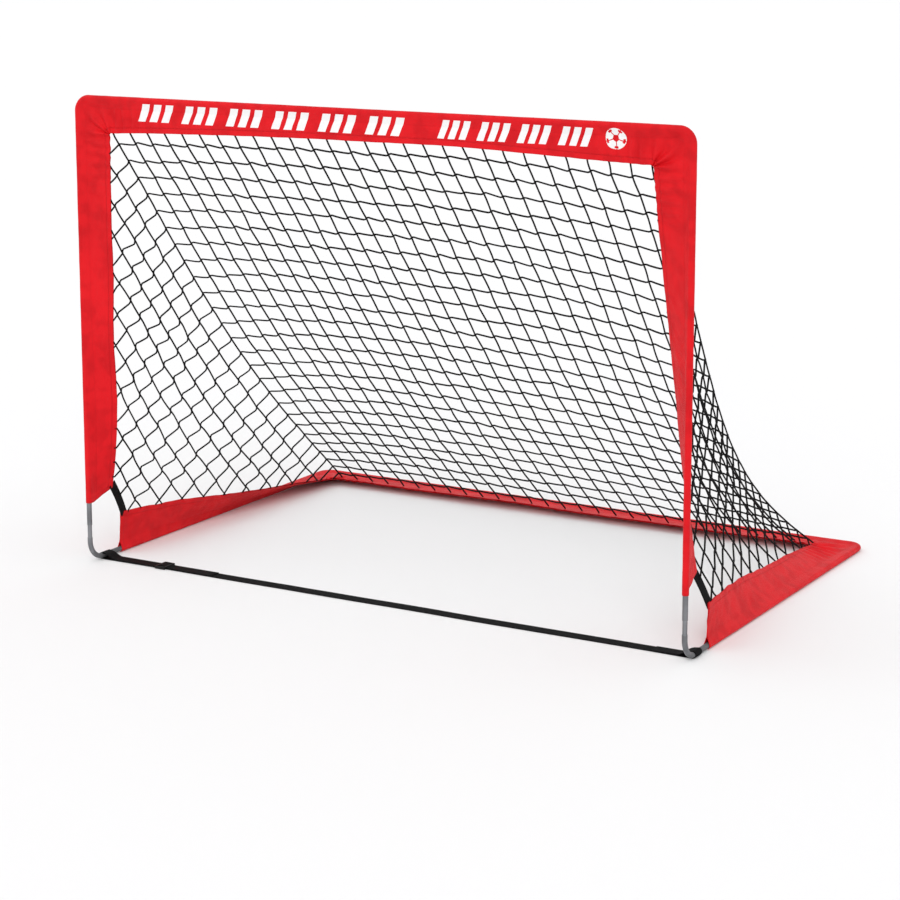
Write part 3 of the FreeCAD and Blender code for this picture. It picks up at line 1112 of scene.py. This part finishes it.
    def leg_hem(self, side: Side, q: float) -> tuple[Vector, Vector]:
        """A point of a leg's free edge as it ripples.

        Args:
            side: which leg.
            q: where along it.

        Returns:
            The point, and the unit direction to it from the tube.
        """
        way = self.leg_way(side, q)
        run = q - self.start
        if side is Side.RIGHT:
            run = self.total_run - run
        along = self.upward * -side.value
        normal = way.normalized().cross(along)
        move = self.ripple(run, 1.0, 0.0, -(self.head - q) / self.corner_reach)
        root = self.point(side.value * self.layout.tube_x, q)
        return root + way + normal * move, way.normalized()

    @cached_property
    def total_run(self) -> float:
        """The length of the whole path."""
        return self.stations()[-1].run


def web_ends(front: Sleeve, ground: Sleeve, side: Side) -> tuple[Vector, Vector]:
    """Where the middle of a corner web meets the bands.

    Args:
        front: the sleeve round the mouth.
        ground: the sleeve on the ground.
        side: which web.

    Returns:
        A point near the post band's foot, and one near the ground band's front corner.
    """
    top, _ = front.leg_hem(side, front.start + 0.026)
    foot, _ = ground.leg_hem(side, ground.start + 0.010)
    return top, foot


# ---------------------------------------------------------------- net
Path = list[tuple[Vector, float]]


@dataclass
class Net:
    """The slack net: its back, and a side between each post's band and each ground band."""

    layout: Layout
    front: Sleeve
    ground: Sleeve
    finish: bpy.types.Material
    mesh: float = 0.0375
    cord: float = 0.00162
    knot: float = 0.0021
    columns: int = 28
    first_row: float = 0.0292
    row_pitch: float = 0.0419
    head_z: float = 0.8038
    head_x: float = 0.5285
    sewn_in: float = 0.0552
    sewn_z: float = 0.0145
    fold_sag: float = 0.0623
    middle_sag: float = 0.030
    sag_y: float = 0.726
    sag_z: float = 0.688
    sag_skew: float = 1.35
    draw: float = 0.035
    kink: float = 0.0026
    side_kink: float = 0.0042
    hidden: float = 0.0045
    behind: float = 0.0024
    web_edge: float = 0.006
    chance: Random = field(default_factory=lambda: Random(29))

    def back_point(self, across: float, down: float) -> Vector:
        """A point of the back.

        Args:
            across: -1 at the left fold and 1 at the right one.
            down: 0 at the top hem and 1 at the rear band.

        Returns:
            The point.
        """
        lay = self.layout
        depth = lay.rear_y - self.sewn_in - lay.front_y
        sag = mix(self.middle_sag, self.fold_sag, abs(across) ** 4)
        sag *= math.sin(math.pi * down**self.sag_skew)
        inward = math.copysign(abs(across) ** 3, across) * self.draw * math.sin(math.pi * down**2)
        y = lay.front_y + depth * down - self.sag_y * sag
        hem = self.head_z + self.front.band - self.front.span_width(across * self.head_x)
        z = mix(hem, self.sewn_z, down) - self.sag_z * sag
        return Vector((across * self.head_x - inward, y, z))

    @cached_property
    def downs(self) -> list[float]:
        """How far down the hem, each cross row and the rear band lie."""
        shares = np.linspace(0.0, 1.0, 201)
        fold = [self.back_point(-1.0, share) for share in shares]
        runs = np.cumsum([0.0, *((after - before).length for before, after in zip(fold, fold[1:]))])
        marks = np.arange(self.first_row, runs[-1] - self.row_pitch / 2, self.row_pitch)
        return [0.0, *np.interp(marks, runs, shares), 1.0]

    def slope(self, across: float, down: float) -> Vector:
        """The unit direction down the back at a point."""
        low, high = max(down - 0.01, 0.0), min(down + 0.01, 1.0)
        return (self.back_point(across, high) - self.back_point(across, low)).normalized()

    def shaken(self, point: Vector, amount: float) -> Vector:
        """A point moved a little, at random."""
        return point + Vector(self.chance.uniform(-amount, amount) for _ in range(3))

    def kinked(self, start: Vector, end: Vector, up: Vector, size: float, mirrored: bool) -> Path:
        """The points of a cross row from one knot to the next.

        Args:
            start: the first knot.
            end: the next knot.
            up: the direction up the net.
            size: how far the cord stands off the straight line.
            mirrored: whether the path goes from right to left.

        Returns:
            The first knot and the points before the next one.
        """
        size *= self.chance.uniform(0.6, 1.4)
        sag = self.chance.uniform(0.0, 0.0012)
        path: Path = [(start, 1.0)]
        for share, height in KINK:
            height = -height if mirrored else height
            drop = sag * 4 * share * (1 - share)
            path.append((start.lerp(end, share) + up * (height * size) - Z * drop, 1.0))
        return path

    def bowed(self, start: Vector, end: Vector, size: float) -> Path:
        """The points of a down cord from one knot to just before the next."""
        bow = Vector(self.chance.uniform(-size, size) for _ in range(3))
        return [(start, 1.0), (start.lerp(end, 0.33) + bow, 1.0), (start.lerp(end, 0.67) + bow * 0.8, 1.0)]

    def back(self) -> tuple[list[Path], list[Vector]]:
        """Lays out the back.

        Returns:
            Its cords and its knots.
        """
        grid: list[list[Vector]] = []
        last_row = len(self.downs) - 1
        for row, down in enumerate(self.downs):
            line = []
            for column in range(self.columns + 1):
                across = column / self.columns * 2 - 1
                point = self.back_point(across, down)
                inside = 0 < row < last_row and 0 < column < self.columns
                if row == 0:
                    point.y += self.front.span_way(point.x).y + self.behind
                line.append(self.shaken(point, 0.0011) if inside else point)
            grid.append(line)
        paths, knots = [], []
        for row in range(1, last_row):
            path: Path = []
            for column in range(self.columns):
                up = -self.slope(column / self.columns * 2 - 1, self.downs[row])
                path += self.kinked(grid[row][column], grid[row][column + 1], up, self.kink, False)
            path.append((grid[row][self.columns], 1.0))
            paths.append(path)
            knots += grid[row]
        for column in range(self.columns + 1):
            path = []
            for row in range(last_row):
                path += self.bowed(grid[row][column], grid[row + 1][column], 0.0006)
            sewn = grid[0][column] + Vector((0, 0, self.hidden))
            paths.append([(sewn, 0.6)] + path + [(grid[last_row][column], 0.9)])
        return paths, knots

    def bounds_at(self, side: Side, y: float, z: float) -> tuple[float, float, float]:
        """How far a point of a side lies inside its edges.

        Args:
            side: which side.
            y: the point's depth.
            z: the point's height.

        Returns:
            Its distances from the post band's edge, the ground band's edge and the web.
        """
        height = min(max(z, self.front.start), self.front.head)
        depth = min(max(y, self.ground.start), self.ground.head)
        post, ground = self.front.leg_hem(side, height)[0], self.ground.leg_hem(side, depth)[0]
        top, foot = web_ends(self.front, self.ground, side)
        inner = X.cross((foot - top).normalized())
        return y - post.y, z - ground.z, (Vector((0, y, z)) - top).dot(inner) - self.web_edge

    def reach(self, side: Side, start: Vector, way: Vector, limit: float) -> tuple[float, Vector, Vector]:
        """Follows a line of a side to a band's free edge.

        Args:
            side: which side.
            start: a point inside the side.
            way: the unit direction in the YZ plane.
            limit: the longest distance to look.

        Returns:
            The distance, the point of the free edge, and the direction into the band.
        """
        low, high = 0.0, limit
        for distance in evenly(0.0, limit, 0.01):
            spot = start + way * distance
            if min(self.bounds_at(side, spot.y, spot.z)) <= 0:
                high = distance
                break
            low = distance
        for _ in range(10):
            middle = (low + high) / 2
            spot = start + way * middle
            low, high = (low, middle) if min(self.bounds_at(side, spot.y, spot.z)) <= 0 else (middle, high)
        spot = start + way * high
        post_gap, ground_gap, web_gap = self.bounds_at(side, spot.y, spot.z)
        if web_gap < min(post_gap, ground_gap):
            top, foot = web_ends(self.front, self.ground, side)
            share = (spot.z - top.z) / (foot.z - top.z)
            return high, Vector((mix(top.x, foot.x, share), spot.y, spot.z)), way
        sleeve, q = (self.front, spot.z) if post_gap < ground_gap else (self.ground, spot.y)
        edge, toward = sleeve.leg_hem(side, min(max(q, sleeve.start + 0.001), sleeve.head))
        edge.y, edge.z = (edge.y, spot.z) if sleeve is self.front else (spot.y, edge.z)
        return high, edge, -toward

    def side(self, side: Side) -> tuple[list[Path], list[Vector]]:
        """Lays out a side.

        Args:
            side: which side.

        Returns:
            Its cords and its knots.
        """
        paths, knots = [], []
        grid: dict[tuple[int, int], Vector] = {}
        rows = range(1, len(self.downs) - 1)
        for row in rows:
            down = self.downs[row]
            fold = self.back_point(side.value, down)
            slope = self.slope(side.value, down)
            way = Vector((0, slope.z, -slope.y)).normalized()
            length, edge, inward = self.reach(side, fold + way * 0.002, way, 0.6)
            path: Path = []
            last, count = fold, int((length - 0.010) / self.mesh)
            for number in range(1, max(count, 0) + 1):
                share = number * self.mesh / length
                spot = fold + way * (number * self.mesh)
                spot.x = mix(fold.x, edge.x, share)
                spot = self.shaken(spot, 0.0017)
                grid[row, number] = spot
                size = mix(self.kink, self.side_kink, min(number / 3, 1.0))
                path += self.kinked(last, spot, -slope, size, side is Side.LEFT)
                knots.append(spot)
                last = spot
            path += self.bowed(last, edge, 0.001)
            path += [(edge, 0.9), (edge + inward * self.hidden, 0.6)]
            paths.append(path)
        for number in sorted({key[1] for key in grid}):
            found = [row for row in rows if (row, number) in grid]
            paths.append(self.lengthwise(side, [grid[row, number] for row in found]))
        return paths, knots

    def lengthwise(self, side: Side, points: list[Vector]) -> Path:
        """One cord of a side, along the fold.

        Args:
            side: which side.
            points: its knots, from the top down.

        Returns:
            The cord, from the post's band to the ground band.
        """
        first = points[1] - points[0] if len(points) > 1 else self.slope(side.value, 0.5)
        last = points[-1] - points[-2] if len(points) > 1 else first
        path: Path = []
        back = Vector((0, -first.y, -first.z)).normalized()
        _, edge, inward = self.reach(side, points[0], back, 0.4)
        path += [(edge + inward * self.hidden, 0.6), *self.bowed(edge, points[0], 0.001)]
        for start, end in zip(points, points[1:]):
            path += self.bowed(start, end, 0.0011)
        path.append((self.shaken(points[-1], 0.0), 1.0))
        _, edge, inward = self.reach(side, points[-1], Vector((0, last.y, last.z)).normalized(), 0.4)
        path += self.bowed(points[-1], edge, 0.001)[1:]
        path += [(edge, 0.9), (edge + inward * self.hidden, 0.6)]
        return path

    @staticmethod
    def region(point: Vector) -> Region:
        """Which piece of the net a point belongs to.

        Args:
            point: the point.

        Returns:
            The piece's region.
        """
        if point.z > LIFT_CUT:
            return Region.TOP
        return Region.REAR if point.y > REAR_CUT else Region.MIDDLE

    def split(self, path: Path) -> Iterator[tuple[Region, Path]]:
        """Cuts a path where it goes from one piece of the net to another.

        Args:
            path: the whole path.

        Yields:
            Each region it passes, and its part there.
        """
        current: Path = [path[0]]
        region = self.region(path[0][0])
        for (before, before_size), (after, after_size) in zip(path, path[1:]):
            if self.region(after) is not region:
                low, high = 0.0, 1.0
                for _ in range(24):
                    middle = (low + high) / 2
                    if self.region(before.lerp(after, middle)) is region:
                        low = middle
                    else:
                        high = middle
                cut = (before.lerp(after, high), mix(before_size, after_size, high))
                current.append(cut)
                yield region, current
                current, region = [cut], self.region(after)
            current.append((after, after_size))
        yield region, current

    def cords(self, name: str, paths: Sequence[Path]) -> bmesh.types.BMesh:
        """Makes round cords along paths.

        Args:
            name: a name for the lines.
            paths: the paths.

        Returns:
            One mesh, with closed ends.
        """
        line = bpy.data.curves.new(name, "CURVE")
        line.dimensions = "3D"
        line.bevel_depth = self.cord
        line.bevel_resolution = 1
        line.use_fill_caps = True
        for path in paths:
            spline = line.splines.new("POLY")
            spline.points.add(len(path) - 1)
            for point, (place, size) in zip(spline.points, path):
                point.co = (*place, 1.0)
                point.radius = size
        holder = bpy.data.objects.new(name + "_line", line)
        mesh = bpy.data.meshes.new_from_object(holder)
        shape = bmesh.new()
        shape.from_mesh(mesh)
        bpy.data.objects.remove(holder)
        bpy.data.curves.remove(line)
        bpy.data.meshes.remove(mesh)
        bmesh.ops.remove_doubles(shape, verts=shape.verts, dist=0.00002)
        return shape

    def build(self) -> None:
        """Builds the net's three pieces and bakes them in place."""
        paths, knots = self.back()
        for side in Side:
            more_paths, more_knots = self.side(side)
            paths, knots = paths + more_paths, knots + more_knots
        sorted_paths: dict[Region, list[Path]] = {region: [] for region in Region}
        for path in paths:
            for region, piece in self.split(path):
                if len(piece) > 1 and (piece[-1][0] - piece[0][0]).length > 0.0005:
                    sorted_paths[region].append(piece)
        for region in Region:
            shape = self.cords(region.value, sorted_paths[region])
            for knot in knots:
                if self.region(knot) is region:
                    size = self.knot * self.chance.uniform(0.9, 1.12)
                    there = Matrix.Translation(knot)
                    bmesh.ops.create_icosphere(shape, subdivisions=1, radius=size, matrix=there)
            piece = shown(region.value, shape, self.finish)
            self.hold(piece, region)

    @staticmethod
    def hold(piece: bpy.types.Object, region: Region) -> None:
        """Bakes one piece of the net in place and hides pieces of the imported net.

        Args:
            piece: the piece.
            region: its region.
        """
        if region is Region.TOP:
            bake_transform(piece)
            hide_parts("net_side_left", "net_side_right")
        elif region is Region.MIDDLE:
            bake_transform(piece)
            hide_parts("net_back")
        else:
            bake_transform(piece)
            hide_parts("net_back")


# ---------------------------------------------------------------- webbing
@dataclass
class Straps:
    """The ground strap, and the short webs that tie the sleeves together at the mouth's feet."""

    layout: Layout
    front: Sleeve
    ground: Sleeve
    finish: bpy.types.Material
    width: float = 0.025
    thickness: float = 0.0012
    lowest: float = 0.00065
    second: float = 0.00195
    fold: float = 0.250
    return_fold: float = 0.075
    slider: float = 0.137
    over_bar: float = 0.0060
    step: float = 0.008
    slider_hump: tuple[float, float, float] = (0.0035, 0.016, 0.020)
    tube_ramp: tuple[float, float, float] = (0.0045, 0.030, 0.036)
    flat_end: float = 0.006
    wave: tuple[float, float] = (0.0022, 0.0005)
    web_width: float = 0.018
    web_bow: float = 0.0016
    web_top: tuple[float, float, float] = (-0.0048, 0.0005, 0.001)
    web_foot: tuple[float, float, float] = (-0.0008, 0.004, -0.007)

    def ribbon(self, name: str, line: Sequence[Vector], across: Vector, width: float) -> bpy.types.Object:
        """A strap along a line, with its edges a little lower than its middle.

        Args:
            name: the piece's name.
            line: the points it follows.
            across: the direction of its width.
            width: its width.

        Returns:
            The piece.
        """
        rows: list[list[Spot]] = []
        run = 0.0
        for number, point in enumerate(line):
            run += (point - line[number - 1]).length if number else 0.0
            after, before = line[min(number + 1, len(line) - 1)], line[max(number - 1, 0)]
            normal = across.cross(after - before).normalized()
            row = []
            for column in range(9):
                share = column / 4 - 1
                off = across * (share * width / 2) * (1 + 0.008 * wander(3.0, run / 0.02, share))
                crown = normal * (0.00012 * (1 - share * share))
                flat = (run, share * width / 2)
                row.append(Spot(point + off + crown, flat, {"edge": (1 - abs(share)) * width / 2}))
            rows.append(row)
        piece = shown(name, cloth_grid(rows), self.finish)
        thicken(piece, self.thickness)
        return piece

    def round_tube(self, sign: int) -> list[Vector]:
        """The strap's loop round a ground tube.

        Args:
            sign: -1 at the left and 1 at the right.

        Returns:
            Points from the top, past the outer side, to the ground.
        """
        radius = self.layout.ground_z - self.lowest
        centre = Vector((sign * self.layout.tube_x, 0, self.layout.ground_z))
        return [
            centre + radius * Vector((sign * math.sin(angle), 0, math.cos(angle)))
            for angle in np.linspace(-0.35, math.pi, 15)
        ]

    def level(self, start: float, end: float) -> list[Vector]:
        """The strap's second layer, from one x to another."""
        return [Vector((x, 0, self.second)) for x in evenly(start, end, self.step)]

    def drape(self, start: float, end: float, low: float, high: float) -> list[Vector]:
        """A strap from one height to another, easing at both ends."""
        return [
            Vector((mix(start, end, share), 0, mix(low, high, ease(share))))
            for share in np.linspace(0.0, 1.0, 8)
        ]

    def build(self) -> None:
        """Builds the strap and the two webs."""
        tube_x = self.layout.tube_x
        bar = -tube_x + self.slider
        over_tube = self.layout.ground_z * 2 - self.lowest - self.thickness / 2
        near, far, clear = self.slider_hump
        crest, ramp, landed = self.tube_ramp
        line = self.level(-tube_x + self.fold, bar + clear + 0.001)
        line += self.drape(bar + far, bar + near, self.second, self.over_bar)
        line += self.drape(bar - near, bar - far, self.over_bar, self.second)
        line += self.level(bar - clear, -tube_x + landed)
        line += self.drape(-tube_x + ramp, -tube_x + crest, self.second, over_tube)
        line += self.round_tube(-1)
        sideways, upwards = self.wave
        for x in evenly(-tube_x + self.flat_end, tube_x - self.flat_end, self.step):
            lift = upwards * max(0, wander(4.0, x / 0.07))
            line.append(Vector((x, sideways * wander(5.0, x / 0.2), self.lowest + lift)))
        line += reversed(self.round_tube(1))
        line += self.drape(tube_x - crest, tube_x - ramp, over_tube, self.second)
        line += self.level(tube_x - landed, tube_x - self.return_fold)
        strap = self.ribbon("ground_strap_webbing", line, Y, self.width)
        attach(strap, "ground_frame")
        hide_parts("ground_strap")
        for side in Side:
            self.web(side)

    def web(self, side: Side) -> None:
        """Builds the web from a post sleeve's foot to a ground sleeve's front corner.

        Args:
            side: which web.
        """
        start, end = web_ends(self.front, self.ground, side)
        foot_z, top_z = end.z - self.web_width / 2, start.z
        start += Vector(self.web_top)
        end += Vector(self.web_foot)
        line = []
        for share in np.linspace(0.0, 1.0, 15):
            bow = self.web_bow * math.sin(math.pi * share)
            line.append(start.lerp(end, share) + Vector((0, bow, bow)))
        run = (end - start).normalized()
        across = run.cross(X).normalized()
        piece = self.ribbon(f"{side.word}_corner_web", line, across, self.web_width)
        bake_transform(piece)
        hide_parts(f"corner_web_{side.word}")


@dataclass
class Slider:
    """The flat three-bar slider on the ground strap."""

    finish: bpy.types.Material
    lines_x: tuple[float, ...] = (-0.011, -0.008, -0.0025, 0.0025, 0.008, 0.011)
    lines_y: tuple[float, ...] = (-0.0165, -0.0135, 0.0135, 0.0165)
    plate: float = 0.0022
    slot_columns: tuple[int, ...] = (1, 3)
    edge: float = 0.00055

    def is_slot(self, place: Vector) -> bool:
        """Whether a point of the plate lies in one of its slots."""
        spans = [self.lines_x[column:column + 2] for column in self.slot_columns]
        return abs(place.y) < self.lines_y[-2] and any(low < place.x < high for low, high in spans)

    def build(self) -> None:
        """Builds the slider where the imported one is."""
        low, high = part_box("strap_slider")
        middle = (low + high) / 2
        shape = bmesh.new()
        columns, rows = len(self.lines_x) - 1, len(self.lines_y) - 1
        bmesh.ops.create_grid(shape, x_segments=columns, y_segments=rows, size=1.0)
        for point in shape.verts:
            column, row = round((point.co.x + 1) / 2 * columns), round((point.co.y + 1) / 2 * rows)
            point.co = (self.lines_x[column], self.lines_y[row], high.z - self.plate)
        slots = [face for face in shape.faces if self.is_slot(face.calc_center_median())]
        bmesh.ops.delete(shape, geom=slots, context="FACES")
        raised = bmesh.ops.extrude_face_region(shape, geom=list(shape.faces))
        top = [item for item in raised["geom"] if isinstance(item, bmesh.types.BMVert)]
        bmesh.ops.translate(shape, verts=top, vec=(0, 0, self.plate))
        shape.normal_update()
        rails = [
            face for face in shape.faces
            if face.calc_center_median().z < high.z - self.plate * 0.9
            and abs(face.calc_center_median().y) > self.lines_y[-2]
        ]
        grown = bmesh.ops.extrude_face_region(shape, geom=rails)
        feet = [item for item in grown["geom"] if isinstance(item, bmesh.types.BMVert)]
        bmesh.ops.translate(shape, verts=feet, vec=(0, 0, low.z - (high.z - self.plate)))
        bmesh.ops.delete(shape, geom=rails, context="FACES")
        bmesh.ops.recalc_face_normals(shape, faces=shape.faces)
        sharp = [edge for edge in shape.edges if edge.is_manifold and edge.calc_face_angle(0.0) > 0.5]
        bmesh.ops.bevel(shape, geom=sharp, offset=self.edge, offset_type="OFFSET", affect="EDGES", segments=3,
                        profile=0.5, material=-1, clamp_overlap=True)
        bmesh.ops.translate(shape, verts=shape.verts, vec=(middle.x, middle.y, 0))
        piece = shown("three_bar_slider", shape, self.finish)
        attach(piece, "slider")
        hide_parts("strap_slider")


# ---------------------------------------------------------------- goal and studio
@dataclass
class Goal:
    """The whole goal."""

    layout: Layout
    foot: float = 0.115
    side_start: float = 0.088
    front_cut: float = 0.140
    ground_cut: float = 0.155

    def build(self) -> None:
        """Builds every piece in order."""
        printed = SleeveCloth(printed=Print()).make("printed_red_cloth")
        plain = SleeveCloth().make("red_cloth")
        webbing = Webbing().make()
        lay = self.layout
        front = Sleeve(
            lay, Plane.UPRIGHT, self.foot, lay.top_z, printed, seed=2.0,
            span_widths=(
                (0.0, 0.0605), (0.08, 0.057), (0.2, 0.0535), (0.35, 0.0500), (0.5, 0.0490),
                (0.68, 0.0485), (0.8, 0.0530), (0.92, 0.0578), (1.0, 0.0605),
            ),
        )
        ground = Sleeve(
            lay, Plane.LYING, lay.front_y + self.side_start, lay.rear_y, plain,
            foot_rise=0.004, sway=0.0018, crease=0.0016, waver=0.0022, seed=11.0, span_rise=0.0088,
        )
        self.steel()
        self.front(front)
        self.ground(ground)
        Net(lay, front, ground, NetCord().make()).build()
        Straps(lay, front, ground, webbing).build()
        Slider(MouldedPlastic().make()).build()

    def steel(self) -> None:
        """Dresses the tubes and elbows."""
        finish = TubeSteel().make()
        for name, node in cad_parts.items():
            if "tube" in name or "elbow" in name:
                node.data.materials.clear()
                node.data.materials.append(finish)
                LOG.info("%s: plated steel", name)

    def front(self, sleeve: Sleeve) -> None:
        """Builds the sleeve round the mouth.

        Args:
            sleeve: its sizes.
        """
        piece, length = sleeve.build("front_sleeve_cloth")
        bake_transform(piece)
        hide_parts("top_sleeve", "post_sleeve_left", "post_sleeve_right")

    def ground(self, sleeve: Sleeve) -> None:
        """Builds the sleeve that lies on the ground.

        Args:
            sleeve: its sizes.
        """
        piece, length = sleeve.build("ground_sleeve_cloth")
        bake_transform(piece)
        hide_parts("rear_sleeve", "side_sleeve_left", "side_sleeve_right")


@dataclass
class Studio:
    """Floor, soft light and camera."""

    azimuth: float = 29.952
    pitch: float = 10.455
    lens: float = 96.75
    lift: float = -0.12
    stand: tuple[float, float, float] = (2.147, -3.4806, 1.2203)
    floor_size: float = 60.0
    sky: float = 0.95
    key: float = 1.0

    def build(self) -> None:
        """Builds the studio round the goal."""
        bpy.context.scene.view_settings.view_transform = "Standard"
        self.floor()
        self.light()
        self.camera()

    def floor(self) -> None:
        """Lays the floor just under the goal."""
        shape = bmesh.new()
        bmesh.ops.create_grid(shape, x_segments=4, y_segments=4, size=self.floor_size)
        bmesh.ops.translate(shape, verts=shape.verts, vec=(0, 0, -0.0004))
        shown("studio_floor", shape, StudioFloor().make())

    def light(self) -> None:
        """Makes an even pale surround and two wide soft lights."""
        world = bpy.data.worlds.new("Surround")
        world.use_nodes = True
        surround = world.node_tree.nodes["Background"]
        surround.inputs["Color"].default_value = colour(1.0, 1.0, 1.0)
        surround.inputs["Strength"].default_value = self.sky
        bpy.context.scene.world = world
        for name, strength, way, spread in (
            ("Key", self.key, Vector((-0.45, 1.0, -0.75)), 35.0),
            ("Fill", self.key * 0.25, Vector((0.9, 0.3, -0.6)), 60.0),
        ):
            lamp = bpy.data.lights.new(name, "SUN")
            lamp.energy = strength
            lamp.angle = math.radians(spread)
            holder = bpy.data.objects.new(name, lamp)
            holder.rotation_mode = "QUATERNION"
            holder.rotation_quaternion = way.to_track_quat("-Z", "Y")
            bpy.context.scene.collection.objects.link(holder)

    def camera(self) -> None:
        """Stands the camera where it sees the goal at the right angle."""
        data = bpy.data.cameras.new("Camera")
        data.lens = self.lens
        data.sensor_width = 36.0
        data.shift_y = self.lift
        data.clip_end = 200.0
        holder = bpy.data.objects.new("Camera", data)
        turn, tilt = math.radians(self.azimuth), math.radians(self.pitch)
        back = Vector((math.sin(turn) * math.cos(tilt), -math.cos(turn) * math.cos(tilt), math.sin(tilt)))
        holder.location = self.stand
        holder.rotation_mode = "QUATERNION"
        holder.rotation_quaternion = (-back).to_track_quat("-Z", "Y")
        bpy.context.scene.collection.objects.link(holder)
        bpy.context.scene.camera = holder


def main() -> None:
    """Builds the studio and the goal."""
    logging.basicConfig(level=logging.INFO, format="%(name)s: %(message)s")
    Studio().build()
    Goal(Layout.read()).build()


if __name__ == "__main__":
    main()
